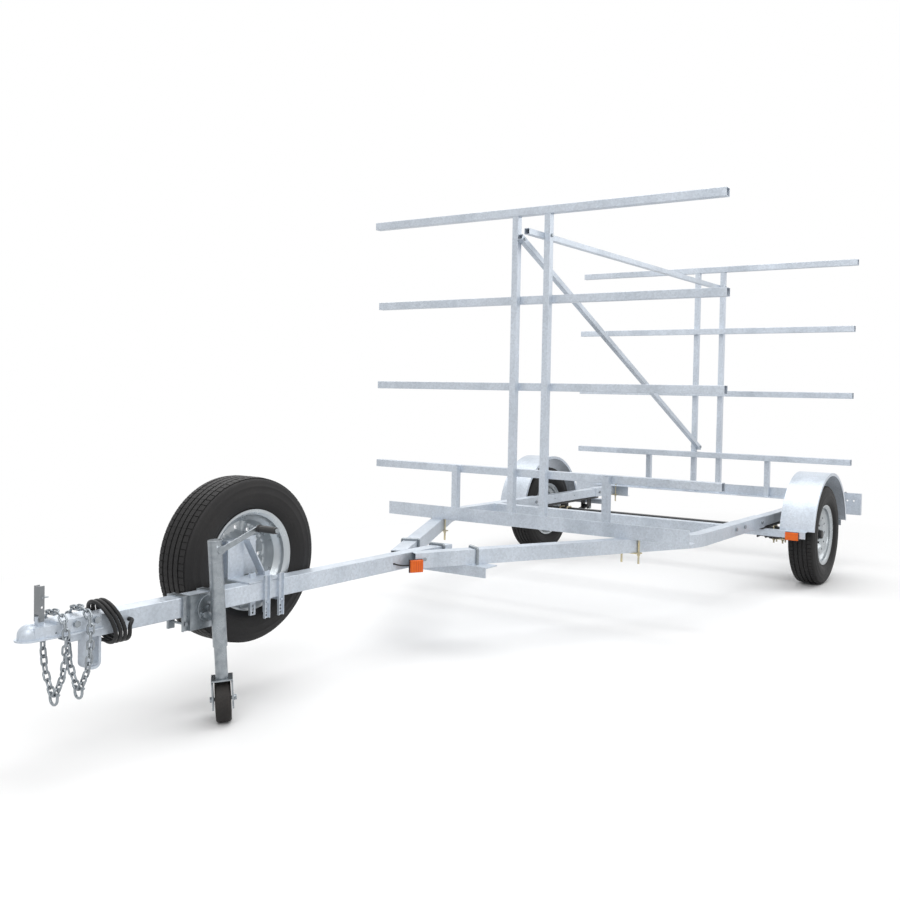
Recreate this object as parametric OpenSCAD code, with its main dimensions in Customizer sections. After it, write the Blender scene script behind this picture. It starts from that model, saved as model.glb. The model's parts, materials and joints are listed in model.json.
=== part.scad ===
// Canoe trailer: a single-axle road trailer that carries two canoe racks on a galvanised frame.
// Lengths are millimetres. X points to the trailer's left, Y to its rear and Z up, and the floor is z = 0.
// Places along the trailer are measured from the axle line, and placed() then centres the whole on the origin.

/* [Chassis] */
// Outer width and height of the drawbar and rail tubes
tube = 65; // [60:1:70]
// Wall of the drawbar and rail tubes
tube_wall = 2.5; // [2:0.5:4]
// Height of the top face of the drawbar and rails above the floor
rail_top = 430; // [425:1:470]
// Distance between the centre lines of the two rails
rail_spacing = 1545; // [1500:5:1560]
// Front end of the drawbar tube, ahead of the axle
drawbar_front = 4225; // [4200:5:4260]
// Rear end of the drawbar tube, ahead of the axle
drawbar_back = 2405; // [2380:5:2410]
// Angle between a rail's front stretch and the drawbar
rail_angle = 29; // [28:0.5:30]
// Radius of the rail's bend, on its centre line
bend_radius = 330; // [250:10:400]
// Corner where the two straight stretches of a rail would meet, ahead of the axle
bend_ahead = 1371; // [1360:1:1390]
// Sideways distance from the centre line to the middle of a rail's cut front end
rail_nose_side = 40; // [38:1:46]
// Rear end of the front rails, ahead of the axle
front_rail_end = 395; // [385:5:440]
// Front end of the rear rails, behind the axle
rear_rail_start = 390; // [385:5:430]
// Length of axle rail that is hidden in each neighbouring rail
rail_lap = 200; // [150:10:260]
// Rear end of the rails behind the axle
tail = 713; // [700:1:760]
// Front face of the crossmember, ahead of the axle
cross_ahead = 940; // [930:5:960]
// Depth of the crossmember along the trailer
cross_depth = 50; // [40:5:60]
// Width of both legs of the rack base angles
base_leg = 70; // [65:1:80]
// Thickness of the rack base angles
base_wall = 5; // [4:0.5:8]
// Length of the rack base angles across the trailer
base_length = 1800; // [1700:10:1850]
// Drop of the folded leg of the plate under the vee, below the rails
vee_drop = 45; // [30:1:60]
// Half length of the plate under the vee, across the trailer
vee_half = 285; // [270:5:320]
// Width of a tail bracket along the trailer's width
tail_bracket_width = 456; // [400:2:470]
// Height of a tail bracket
tail_bracket_height = 144; // [130:2:160]

/* [Racks] */
// Front face of the front rack's uprights, ahead of the axle
front_rack_ahead = 1749; // [1740:1:1770]
// Rear face of the rear rack's uprights, behind the axle
rear_rack_behind = 708; // [690:1:708]
// Outer size of the uprights and stubs
post = 35; // [30:1:40]
// Wall of the uprights, bars and braces
rack_wall = 2; // [1.5:0.5:3]
// Distance between the centres of a rack's two uprights
post_spacing = 192; // [170:1:230]
// Distance between the centres of a rack's two stubs
stub_spacing = 910; // [600:10:1100]
// Outer size of the canoe bars
bar = 40; // [35:1:45]
// Length of the canoe bars
bar_length = 2070; // [1900:10:2180]
// Height of one canoe bar above the next
bar_pitch = 445; // [400:5:450]
// Height of the top of the top bars above the floor
rack_height = 2060; // [2050:5:2200]
// Outer size of the braces
brace = 30; // [25:1:32]
// Height of the sloping brace at the front rack
slope_top = 1905; // [1800:5:1905]
// Height of the sloping brace at the rear rack
slope_foot = 760; // [755:5:900]
// Height of the level brace
level_height = 1912; // [1850:1:1960]
// Length of the level brace that shows ahead of the front rack
level_overhang = 137; // [80:1:160]

/* [Wheels and suspension] */
// Radius of the tyres
tyre_radius = 298; // [290:1:300]
// Width of the tyres
tyre_width = 165; // [155:1:175]
// Distance between the centre planes of the two road wheels
track = 1970; // [1960:2:1990]
// Radius of the bead seat of the rims
seat_radius = 165; // [160:1:168]
// Width of the rims over their flanges
rim_width = 132; // [120:1:140]
// Number of wheel studs
stud_count = 5; // [4:1:6]
// Radius of the circle that the wheel studs stand on
stud_circle = 54; // [50:0.5:57.15]
// Side of the square axle beam
axle_bar = 45; // [40:1:50]
// Diameter of the axle's stub ends in the bearings
spindle = 30; // [25:0.5:33]
// Half length of the leaf springs, from the axle to the eye
spring_half = 330; // [300:5:340]
// Width of the spring leaves
leaf_width = 45; // [40:1:50]
// Thickness of one spring leaf
leaf = 6; // [5:0.5:7]
// Rise of the spring's ends above its middle
spring_rise = 42; // [36:1:46]
// Outer radius of the mudguards
guard_radius = 370; // [365:1:380]
// Width of the mudguards
guard_width = 200; // [190:2:204]
// Height of the mudguards' centre above the floor
guard_height = 306; // [300:1:312]
// Thickness of the mudguards' sheet
guard_sheet = 2; // [1.5:0.5:3]
// Depth of the turned-down edges of the mudguards
guard_edge = 18; // [12:1:22]
// Width of both legs of the mudguard stays
stay = 40; // [35:1:42]

/* [Coupling] */
// Diameter of the ball that the coupling takes
ball = 50; // [48:1:50.8]
// Centre of the ball, ahead of the axle
ball_ahead = 4330; // [4325:1:4345]
// Thickness of the coupling's pressed steel
coupling_wall = 3.5; // [3:0.5:4.5]
// Rear end of the coupling's sleeve, ahead of the axle
coupling_back = 4129; // [4120:1:4140]
// Length of the raised coupling lever
lever_length = 95; // [80:1:110]
// Depth of the safety loop below the drawbar
loop_depth = 98; // [80:1:120]
// Diameter of the chains' wire
chain_wire = 6; // [5:0.5:6.5]
// Inner length of a chain link
link_pitch = 24; // [22:0.5:28]

/* [Jockey wheel] */
// Pivot of the jockey, ahead of the axle
jockey_ahead = 3753; // [3750:1:3760]
// Sideways place of the jockey's tube
jockey_side = 95; // [92:1:110]
// Height of the jockey's pivot above the floor
jockey_pivot = 385; // [383:1:395]
// Lean of the jockey's tube, foot to the rear
jockey_lean = 4.5; // [0:0.5:6]
// Diameter of the jockey's outer tube
jockey_outer = 46; // [46:1:52]
// Diameter of the jockey's inner tube
jockey_inner = 40; // [40:0.5:43]
// Top of the outer tube above the pivot
jockey_head = 230; // [225:1:260]
// Bottom of the outer tube below the pivot
jockey_skirt = 123; // [110:1:130]
// Radius of the jockey wheel
castor_radius = 75; // [70:1:80]
// Width of the jockey wheel
castor_width = 50; // [40:1:54]
// Distance that the jockey wheel trails behind its tube
castor_trail = 30; // [20:1:34]
// Angle that the jockey wheel is turned to
castor_turn = 50; // [40:5:60]
// Length of the crank arm
crank_length = 160; // [140:1:175]

/* [Spare wheel] */
// Centre of the spare wheel, ahead of the axle
spare_ahead = 3473; // [3465:1:3480]
// Sideways distance of the spare wheel's centre plane from the centre line
spare_side = 129; // [125:1:150]
// Height of the spare wheel's centre
spare_height = 493; // [485:1:505]
// Length of the perforated straps below the drawbar
strap_drop = 65; // [50:5:80]

/* [Hidden] */
// Gap between pieces that are pushed or bolted together
seat = 0.3;
// Radial gap of a shaft in its bearing or bush
running = 0.05;
// Bite that a cut takes past the face it opens
bite = 1;
// Bite of one welded stretch into the next
weld = 0.01;

// Chassis
half = tube / 2;
rail_bottom = rail_top - tube;
rail_mid = rail_top - half;
rail_x = rail_spacing / 2;
nose_y = -bend_ahead - (rail_x - rail_nose_side) / tan(rail_angle);
bend_run = bend_radius * tan(rail_angle / 2);
bend_flats = 8;
slide_tube = tube - 2 * tube_wall - 2 * seat;
bolt = 12;
small_bolt = 8;
saddle = 10;
saddle_bottom = rail_bottom - saddle;
plate = 6;
vee_front = drawbar_back + 100;
vee_depth = 90;
drawbar_clamp_ahead = vee_front - 30;
rail_clamp_run = 285;
end_plate_length = 235;
cross_bolts = [-cross_ahead + 66, -cross_ahead + 200];
lap_bolt = 55;
base_clamp_front = -front_rack_ahead + 34;
base_clamp_rear = rear_rack_behind - 26;
clamp_leg_drop = 48;
tail_bracket_x = rail_x + 92.5;
tail_plate = 3;
tail_flange = 25;
tail_hole_pitch = 42;
tail_hole = 11;

// Racks
post_x = post_spacing / 2;
stub_x = stub_spacing / 2;
base_z = rail_top + base_wall;
leg_pitch = 260;
front_post_y = -front_rack_ahead + post / 2;
rear_post_y = rear_rack_behind - post / 2;
post_top = rack_height - bar;
lowest_bar_top = rack_height - 3 * bar_pitch;
front_bar_y = -front_rack_ahead + post + bar / 2;
rear_bar_y = rear_rack_behind - post - bar / 2;
brace_x = post_x - post / 2 - brace / 2;
brace_bolt = 10;

// Wheels and suspension
wheel_x = track / 2;
axle_z = tyre_radius;
flange_lip = 17;
flange_radius = seat_radius + flange_lip;
rim_sheet = 4;
well_radius = seat_radius - 20;
disc_sheet = 5;
hub_bore = 33;
stud = 12;
hub_flange = 12;
hub_flange_radius = stud_circle + 14;
hub_body_radius = 32;
cap_radius = 26;
cap_length = 26;
bearing_length = 18;
bearing_radius = hub_body_radius - 7;
hub_inner_x = wheel_x - 70;
hub_outer_x = wheel_x + 30;
beam_end = hub_inner_x - 6;
axle_low = axle_z - axle_bar / 2;
eye_radius = 16;
eye_bore = 8;
eye_z = axle_low + spring_rise;
spring_radius = (pow(spring_half, 2) + pow(spring_rise, 2)) / (2 * spring_rise);
leaf_drop = 3 * seat;
spring_centre_z = axle_low + spring_radius - leaf_drop;
leaf_count = 3;
leaf_flats = 10;
leaf_step = leaf + seat;
pack_low = axle_low - leaf_drop - leaf_count * leaf_step;
seat_plate = 8;
seat_plate_low = pack_low - seat - seat_plate;
spring_bolt = 10;
spring_bolt_x = (axle_bar > leaf_width ? axle_bar : leaf_width) / 2 + spring_bolt / 2 + seat;
spring_bolt_y = axle_bar / 2 + spring_bolt / 2 + seat;
saddle_reach = 430;
hanger_wall = 5;
slipper_y = spring_half - 30;
stay_top = saddle_bottom;
stay_wall = 4;
stay_y = guard_radius + 30;
stay_inner_x = rail_x - 122;
stay_outer_x = wheel_x + 60;
lamp_length = 75;
lamp_height = 45;
lamp_depth = 19;
lamp_base = 6;
lamp_x = wheel_x - 14;
vee_lamp_length = 62;
vee_lamp_height = 54;
vee_lamp_z = rail_mid - 19;

// Coupling
socket_radius = ball / 2 + seat;
dome_radius = socket_radius + coupling_wall + 1.2;
sleeve_top = rail_top + seat + coupling_wall;
sleeve_half = half + seat + coupling_wall;
dome_z = sleeve_top - dome_radius;
lip_z = dome_z - 16;
lip_width = 7;
neck_half = 14;
tongue_y = -ball_ahead + 60;
tongue_z = lip_z + 14;
tongue_pin = 6;
sleeve_y = -drawbar_front - 30;
coupling_bolts = [-drawbar_front + 14, -drawbar_front + 77];
coupling_bolt_z = rail_top - 13;
coupling_bolt = 12;
lever_y = -ball_ahead + 30;
lever_pivot_z = sleeve_top + 9;
lever_width = 26;
lever_depth = 16;
lever_wall = 2.5;
lever_pin = 8;
loop_width = 45;
loop_bar = 8;
loop_front = -drawbar_front + 57;
loop_back = -drawbar_front + 103;
ring_play = 0.8;
link_span = link_pitch - ring_play;

// Jockey wheel
castor_edge = 8;
castor_tilt = asin(sin(castor_turn) * sin(jockey_lean));
castor_height = (castor_radius - castor_edge) * cos(castor_tilt)
    + (castor_width / 2 - castor_edge) * sin(castor_tilt) + castor_edge;
castor_drop = (jockey_pivot + castor_trail * cos(castor_turn) * sin(jockey_lean) - castor_height)
    / cos(jockey_lean);
fork_sheet = 5;
fork_gap = 4;
fork_top = castor_drop - castor_radius - 8;
fork_half = castor_width / 2 + fork_gap;
castor_axle = 12;
stem = 20;
stem_length = 34;
inner_wall = 3;
inner_top = 80;
crank_z = jockey_head - 30;
crank_shaft = 12;
crank_x = jockey_outer / 2 + 6;
crank_strap = 5;
grip_length = 85;
grip_radius = 13;
crank_rise = 20;
screw = 16;
screw_top = crank_z - 12;
screw_foot = -90;
nut_height = 24;
swivel_x = half + 15;
swivel_plate = 6;
pivot_pin = 16;
clamp_channel = 25;
clamp_depth = 9;
clamp_ahead = 82;
clamp_behind = 33;
clamp_top = rail_top + 5;
clamp_foot = rail_bottom - 45;
lock_pin = 10;
lock_pin_travel = 8;
lock_pin_y = -32;
lock_pin_z = -14;
lock_collar = 6;

// Spare wheel
strap_width = 24;
strap_depth = 10;
strap_wall = 3;
strap_spread = 65;
strap_y = -spare_ahead + 11;
strap_hole = 9;
strap_tie = 8;
carrier_x = -spare_side + seat;
carrier_y = -spare_ahead;
carrier_hub_z = spare_height;

// Wiring: the cable's middle turns are an ellipse round the drawbar, and its two ends are led by hand
cable = 12;
turns = 3;
turn_pitch = 15.5;
turn_half_width = 60;
turn_half_height = 66;
turn_slant = 30;
turn_start = 250;
turn_steps = 24;
turn_first_y = -4112;
cable_hole_y = -4037;
plug_x = -80;
plug_y = -4106;
plug_z = 380;
plug_size = [20, 38, 52];

// Ends of the whole trailer, for the origin in the middle of its length
front_end = -ball_ahead - dome_radius - lip_width;
rear_end = tail + tail_plate + tail_flange;
middle_y = (front_end + rear_end) / 2;
galvanised = "#c3c8cc";
zinc = "#d9dcdc";
yellow_zinc = "#c9b35a";
black_paint = "#1d1f21";
rubber = "#26272a";
amber = "#f08a1c";

// Helpers

// The whole trailer is centred on the origin along its length
module placed() {
    translate([0, -middle_y, 0]) children();
}

module both_sides() {
    children();
    mirror([1, 0, 0]) children();
}

// A block between two values on each axis
module block(x, y, z) {
    translate([x[0], y[0], z[0]]) cube([x[1] - x[0], y[1] - y[0], z[1] - z[0]]);
}

// A solid or hollow square bar along +Y, centred on the Y axis
module bar_along_y(length, size) {
    translate([-size / 2, 0, -size / 2]) cube([size, length, size]);
}

module tube_along_y(length, size, wall) {
    difference() {
        bar_along_y(length, size);
        translate([0, -bite, 0]) bar_along_y(length + 2 * bite, size - 2 * wall);
    }
}

module tube_along_x(length, size, wall) {
    translate([-length / 2, 0, 0]) rotate([0, 0, -90]) tube_along_y(length, size, wall);
}

module rod_x(x, y, z, size) {
    translate([x[0], y, z]) rotate([0, 90, 0]) cylinder(d = size, h = x[1] - x[0]);
}

module hex_x(x, y, z, size) {
    translate([x[0], y, z]) rotate([0, 90, 0]) cylinder(d = size, h = x[1] - x[0], $fn = 6);
}

module rod_z(x, y, z, size) {
    translate([x, y, z[0]]) cylinder(d = size, h = z[1] - z[0]);
}

module hex_z(x, y, z, size) {
    translate([x, y, z[0]]) cylinder(d = size, h = z[1] - z[0], $fn = 6);
}

// A bolt along X with its head at the first value and its nut at the second
module bolt_x(x, y, z, size) {
    low = min(x[0], x[1]);
    high = max(x[0], x[1]);
    rod_x([low - seat - 3, high + seat + 3], y, z, size);
    hex_x([low - seat - size * 0.6, low - seat], y, z, size * 1.75);
    hex_x([high + seat, high + seat + size * 0.7], y, z, size * 1.75);
}

module bolt_z(x, y, z, size) {
    rod_z(x, y, [z[0] - seat - size - 4, z[1] + seat + 1], size);
    hex_z(x, y, [z[0] - seat - size * 0.8, z[0] - seat], size * 1.75);
    hex_z(x, y, [z[1] + seat, z[1] + seat + size * 0.6], size * 1.75);
}

// A square U-bolt over the origin's tube: legs along Z at half the width, and a nut on each leg
module u_bolt(width, top, foot, wire, nut_z) {
    bend = wire / 2 + seat;
    for (side = [0, 1]) mirror([side, 0, 0]) {
        translate([width / 2, 0, foot]) cylinder(d = wire, h = top - bend - foot);
        translate([width / 2 - bend, 0, top - bend]) rotate([90, 0, 0])
            rotate_extrude(angle = 90) translate([bend, 0]) circle(d = wire);
    }
    translate([bend - width / 2, 0, top]) rotate([0, 90, 0]) cylinder(d = wire, h = width - 2 * bend);
    for (side = [-1, 1]) translate([side * width / 2, 0, nut_z - wire * 0.8])
        cylinder(d = wire * 1.75, h = wire * 0.8, $fn = 6);
}

module u_bolt_holes(width, size, z) {
    for (side = [-1, 1]) rod_z(side * width / 2, 0, z, size + 2 * seat);
}

// Chassis

// Frame of a rail's angled front stretch: origin at its cut front end, +Y along it
module on_front_rail() {
    translate([rail_nose_side, nose_y, 0]) rotate([0, 0, -rail_angle]) children();
}

// One edge of a front rail in plan: angled stretch, bend in short flats, straight stretch
function rail_edge(side, past) = let (
    nose = [rail_nose_side, nose_y] + side * [cos(rail_angle), -sin(rail_angle)],
    centre = [rail_x - bend_radius, -bend_ahead + bend_run]
) concat(
    [nose - past * [sin(rail_angle), cos(rail_angle)]],
    [for (step = [0:bend_flats]) let (angle = rail_angle * (step / bend_flats - 1))
        centre + (bend_radius + side) * [cos(angle), sin(angle)]],
    [[rail_x + side, past - front_rail_end]]
);

module front_rail_bar(size, past) {
    outer = rail_edge(size / 2, past);
    inner = rail_edge(-size / 2, past);
    translate([0, 0, rail_mid - size / 2]) linear_extrude(height = size)
        polygon(concat(outer, [for (i = [len(inner) - 1:-1:0]) inner[i]]));
}

module front_rail() {
    difference() {
        front_rail_bar(tube, 0);
        front_rail_bar(tube - 2 * tube_wall, bite);
        block([-tube, half], [nose_y - tube, -drawbar_back], [rail_bottom - bite, rail_top + bite]);
        for (y = cross_bolts) rod_x([rail_x - tube, rail_x + tube], y, rail_mid + 5, bolt + 2 * seat);
        rod_x([rail_x - tube, rail_x + tube], -front_rail_end - lap_bolt, rail_mid, bolt + 2 * seat);
        nose_bolt_hole();
    }
}

module nose_bolt_hole() {
    on_front_rail() rod_x([half - 2 * tube_wall, half + bite], 42, rail_mid + 6, small_bolt + 2 * seat);
}

module drawbar() {
    color(galvanised) placed() difference() {
        translate([0, -drawbar_front, rail_mid]) tube_along_y(drawbar_front - drawbar_back, tube, tube_wall);
        for (y = coupling_bolts) rod_x([-tube, tube], y, coupling_bolt_z, coupling_bolt + 2 * seat);
        rod_x([0, tube], cable_hole_y, rail_mid + 1, cable + 2 * seat);
        block([0, tube], [nose_y - 118, nose_y - 108], [rail_mid - 6, rail_mid + 2]);
        mirror([1, 0, 0]) block([0, tube], [nose_y - 118, nose_y - 108], [rail_mid - 6, rail_mid + 2]);
    }
}

module front_rails() {
    color(galvanised) placed() both_sides() front_rail();
}

module axle_rails() {
    color(galvanised) placed() both_sides() difference() {
        translate([rail_x, -front_rail_end - rail_lap, rail_mid])
            tube_along_y(front_rail_end + rear_rail_start + 2 * rail_lap, slide_tube, tube_wall + 1);
        for (y = [-front_rail_end - lap_bolt, rear_rail_start + lap_bolt])
            rod_x([rail_x - tube, rail_x + tube], y, rail_mid, bolt + 2 * seat);
        for (y = [-200, 72]) rod_x([rail_x - tube, rail_x], y, rail_mid + 4, small_bolt + 2);
    }
}

module rear_rails() {
    color(galvanised) placed() both_sides() difference() {
        translate([rail_x, rear_rail_start, rail_mid]) tube_along_y(tail - rear_rail_start, tube, tube_wall);
        rod_x([rail_x - tube, rail_x + tube], rear_rail_start + lap_bolt, rail_mid, bolt + 2 * seat);
    }
}

module chassis_crossmember() {
    inner = rail_x - half;
    color(galvanised) placed() difference() {
        union() {
            difference() {
                block([-inner + plate, inner - plate], [-cross_ahead, -cross_ahead + cross_depth],
                    [rail_bottom, rail_top]);
                block([-inner, inner], [-cross_ahead + tube_wall, -cross_ahead + cross_depth - tube_wall],
                    [rail_bottom + tube_wall, rail_top - tube_wall]);
            }
            both_sides() block([inner - plate, inner], [-cross_ahead, -cross_ahead + end_plate_length],
                [rail_bottom, rail_top]);
        }
        for (y = cross_bolts) rod_x([-rail_x, rail_x], y, rail_mid + 5, bolt + 2 * seat);
    }
}

module vee_clamps() {
    translate([0, -drawbar_clamp_ahead, 0]) children();
    both_sides() on_front_rail() translate([0, rail_clamp_run, 0]) children();
}

module vee_plate() {
    color(galvanised) placed() difference() {
        union() {
            block([-vee_half, vee_half], [-vee_front, -vee_front + vee_depth],
                [rail_bottom - plate, rail_bottom]);
            block([-vee_half, vee_half], [-vee_front, -vee_front + plate],
                [rail_bottom - vee_drop, rail_bottom]);
        }
        vee_clamps() u_bolt_holes(tube + bolt + 2 * seat, bolt, [rail_bottom - 2 * plate, rail_bottom + bite]);
    }
}

module base_angle() {
    block([-base_length / 2, base_length / 2], [-weld, base_leg], [rail_top, base_z]);
    block([-base_length / 2, base_length / 2], [-base_wall, 0], [rail_top, rail_top + base_leg]);
}

module front_base_angle() {
    color(galvanised) placed() difference() {
        translate([0, -front_rack_ahead, 0]) base_angle();
        base_clamp_places() u_bolt_holes(base_clamp_width(), small_bolt + 2, [rail_top - bite, base_z + bite]);
    }
}

module rear_base_angle() {
    color(galvanised) placed() difference() {
        translate([0, rear_rack_behind, 0]) mirror([0, 1, 0]) base_angle();
        base_clamp_places() u_bolt_holes(base_clamp_width(), small_bolt + 2, [rail_top - bite, base_z + bite]);
        for (i = [-2:2])
            rod_z(i * leg_pitch, rear_rack_behind - base_leg / 2, [rail_top - bite, base_z + bite], 9);
    }
}

function base_clamp_width() = (tube / cos(rail_angle)) + small_bolt + 8;

// The four places where the base angles are clamped to the rails
module base_clamp_places() {
    cross_x = rail_nose_side + (base_clamp_front - nose_y) * tan(rail_angle);
    both_sides() translate([cross_x, base_clamp_front, 0]) children();
    both_sides() translate([rail_x, base_clamp_rear, 0]) children();
}

module rack_clamps() {
    width = base_clamp_width();
    low = rail_bottom - plate;
    color(yellow_zinc) placed() base_clamp_places() {
        difference() {
            block([-width / 2 - 12, width / 2 + 12], [-15, 15], [low, rail_bottom]);
            u_bolt_holes(width, small_bolt + 2, [low - bite, rail_bottom + bite]);
        }
        for (side = [-1, 1]) {
            rod_z(side * width / 2, 0, [low - clamp_leg_drop, base_z + seat + 6], small_bolt + 2);
            hex_z(side * width / 2, 0, [low - seat - 8, low - seat], 17);
            hex_z(side * width / 2, 0, [base_z + seat, base_z + seat + 7], 17);
        }
    }
}

module tail_brackets() {
    inner_x = tail_bracket_x - tail_bracket_width / 2;
    outer_x = tail_bracket_x + tail_bracket_width / 2;
    low = rail_mid - tail_bracket_height / 2 + 27;
    high = low + tail_bracket_height;
    y = tail;
    hole_x = outer_x - 67;
    color(galvanised) placed() both_sides() difference() {
        union() {
            block([inner_x, outer_x], [y, y + tail_plate], [low, high]);
            block([inner_x, outer_x], [y, y + tail_plate + tail_flange], [high - tail_plate, high]);
            block([inner_x, outer_x], [y, y + tail_plate + tail_flange], [low, low + tail_plate]);
            block([outer_x - tail_plate, outer_x], [y, y + tail_plate + tail_flange], [low, high]);
        }
        for (step = [-0.5, 0.5]) translate([hole_x + step * tail_hole_pitch, y - bite, rail_top + 16])
            rotate([-90, 0, 0]) cylinder(d = tail_hole, h = tail_plate + 2 * bite);
        rod_z(hole_x - 38, y + 14, [high - tail_plate - bite, high + bite], small_bolt + 2 * seat);
    }
}

module tail_bolts() {
    high = rail_mid - tail_bracket_height / 2 + 27 + tail_bracket_height;
    x = tail_bracket_x + tail_bracket_width / 2 - 67 - 38;
    bolt_z(x, tail + 14, [high - tail_plate, high], small_bolt);
}

module frame_bolts() {
    outer = rail_x + half;
    inner = rail_x - half;
    clamp_width = tube + bolt + 2 * seat;
    color(zinc) placed() {
        // Coupling bolts through the sleeve and the drawbar
        for (y = coupling_bolts) bolt_x([-sleeve_half, sleeve_half], y, coupling_bolt_z, coupling_bolt);
        // Crossmember and lap bolts
        both_sides() for (y = cross_bolts) bolt_x([inner - plate, outer], y, rail_mid + 5, bolt);
        both_sides() for (y = [-front_rail_end - lap_bolt, rear_rail_start + lap_bolt])
            bolt_x([inner, outer], y, rail_mid, bolt);
        // Nose bolts of the front rails, with the nut inside the tube
        both_sides() on_front_rail() translate([0, 42, 0]) {
            rod_x([half - tube_wall - 9, half + seat + 2], 0, rail_mid + 6, small_bolt);
            hex_x([half + seat, half + seat + 5], 0, rail_mid + 6, 15);
            hex_x([half - tube_wall - seat - 6, half - tube_wall - seat], 0, rail_mid + 6, 15);
        }
        // U-bolts that hold the drawbar and rails to the plate under the vee
        vee_clamps() u_bolt(clamp_width, rail_top + seat + bolt / 2, rail_bottom - plate - 26, bolt,
            rail_bottom - plate - seat);
        // Brace bolts at the racks
        for (end = [[front_post_y, slope_top], [rear_post_y, slope_foot]])
            bolt_x([-post_x - post / 2, -brace_x + brace / 2], end[0], end[1], brace_bolt);
        for (y = [front_post_y, rear_post_y])
            bolt_x([brace_x - brace / 2, post_x + post / 2], y, level_height, brace_bolt);
        both_sides() tail_bolts();
        // Bolts of the jockey clamp, and the nuts of the spare wheel
        translate([0, -jockey_ahead, 0]) clamp_bolt_places()
            bolt_x([-half - seat - 3, half + seat + 3], 0, 0, small_bolt);
        carrier_studs() translate([0, 0, disc_sheet + 2 * seat]) difference() {
            cylinder(d = 21, h = 15, $fn = 6);
            translate([0, 0, -bite]) cylinder(d = stud + 2 * seat, h = 30);
        }
    }
}

// Racks

module rack_posts(y, end) {
    brace_end = brace_bolt + 2 * seat;
    difference() {
        for (side = [-1, 1]) translate([side * post_x, y, base_z]) upright(post_top - base_z);
        rod_x([-post_x - post, -post_x + post], y, end, brace_end);
        rod_x([post_x - post, post_x + post], y, level_height, brace_end);
    }
}

module upright(height) {
    difference() {
        translate([-post / 2, -post / 2, 0]) cube([post, post, height]);
        translate([-post / 2 + rack_wall, -post / 2 + rack_wall, -bite])
            cube([post - 2 * rack_wall, post - 2 * rack_wall, height + 2 * bite]);
    }
}

module rack_uprights() {
    color(galvanised) placed() {
        rack_posts(front_post_y, slope_top);
        rack_posts(rear_post_y, slope_foot);
    }
}

module rack_stubs() {
    height = lowest_bar_top - 5 - base_z;
    color(galvanised) placed() for (y = [front_post_y, rear_post_y], side = [-1, 1])
        translate([side * stub_x, y, base_z]) upright(height);
}

module rack_bars(bar_y, post_y) {
    for (row = [0:2]) translate([0, bar_y, lowest_bar_top + row * bar_pitch - bar / 2])
        tube_along_x(bar_length, bar, rack_wall);
    translate([0, post_y, rack_height - bar / 2]) tube_along_x(bar_length, bar, rack_wall);
}

module front_bars() {
    color(galvanised) placed() rack_bars(front_bar_y, front_post_y);
}

module rear_bars() {
    color(galvanised) placed() rack_bars(rear_bar_y, rear_post_y);
}

module rack_braces() {
    fall = slope_top - slope_foot;
    run = rear_post_y - front_post_y;
    angle = atan(fall / run);
    length = sqrt(fall * fall + run * run) + 2 * 22;
    hole = brace_bolt + 2 * seat;
    color(galvanised) placed() {
        difference() {
            translate([-brace_x, front_post_y, slope_top]) rotate([-angle, 0, 0])
                translate([0, -22, 0]) tube_along_y(length, brace, rack_wall);
            rod_x([-brace_x - brace, -brace_x + brace], front_post_y, slope_top, hole);
            rod_x([-brace_x - brace, -brace_x + brace], rear_post_y, slope_foot, hole);
        }
        difference() {
            translate([brace_x, -front_rack_ahead - level_overhang, level_height])
                tube_along_y(front_rack_ahead + level_overhang + rear_rack_behind + 4, brace, rack_wall);
            for (y = [front_post_y, rear_post_y])
                rod_x([brace_x - brace, brace_x + brace], y, level_height, hole);
        }
    }
}

// Wheels and suspension

module on_axle(x) {
    translate([x, 0, axle_z]) rotate([0, 90, 0]) children();
}

module guard_sweep() {
    end = asin((stay_top + seat - guard_height) / guard_radius);
    translate([wheel_x, 0, guard_height]) rotate([0, 90, 0]) rotate([0, 0, 90 + end])
        rotate_extrude(angle = 180 - 2 * end) children();
}

module mudguards() {
    low_x = -guard_width / 2;
    color(galvanised) placed() both_sides() guard_sweep() {
        translate([guard_radius - guard_sheet, low_x]) square([guard_sheet, guard_width]);
        for (y = [low_x, -low_x - guard_sheet]) translate([guard_radius - guard_edge, y])
            square([guard_edge, guard_sheet]);
    }
}

module mudguard_stays() {
    color(galvanised) placed() both_sides() for (side = [0, 1]) mirror([0, side, 0]) {
        block([stay_inner_x, stay_outer_x], [-stay_y, -stay_y + stay], [stay_top - stay_wall, stay_top]);
        block([stay_inner_x, stay_outer_x], [-stay_y, -stay_y + stay_wall], [stay_top - stay, stay_top]);
    }
}

module side_lamp_bases() {
    color(black_paint) placed() both_sides() {
        block([lamp_x - lamp_length / 2 - 2, lamp_x + lamp_length / 2 + 2],
            [-stay_y - lamp_base, -stay_y], [stay_top - 5 - lamp_height - 2, stay_top - 3]);
        on_front_rail() vee_lamp_base();
    }
}

// The vee lamp sits on the outer side of its rail, its front half ahead of the rail's cut end
module vee_lamp_base() {
    translate([half + seat, 0, vee_lamp_z]) block([0, lamp_base], [-31, 31], [-28, 28]);
}

module side_lamp_lenses() {
    color(amber) placed() both_sides() {
        block([lamp_x - lamp_length / 2, lamp_x + lamp_length / 2],
            [-stay_y - lamp_depth, -stay_y - lamp_base], [stay_top - 5 - lamp_height, stay_top - 5]);
        on_front_rail() translate([half + 2 * seat + lamp_base, 0, vee_lamp_z])
            block([0, lamp_depth - lamp_base], [-vee_lamp_length / 2 + 3, vee_lamp_length / 2 - 3],
                [-vee_lamp_height / 2 + 1, vee_lamp_height / 2 - 1]);
    }
}

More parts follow.
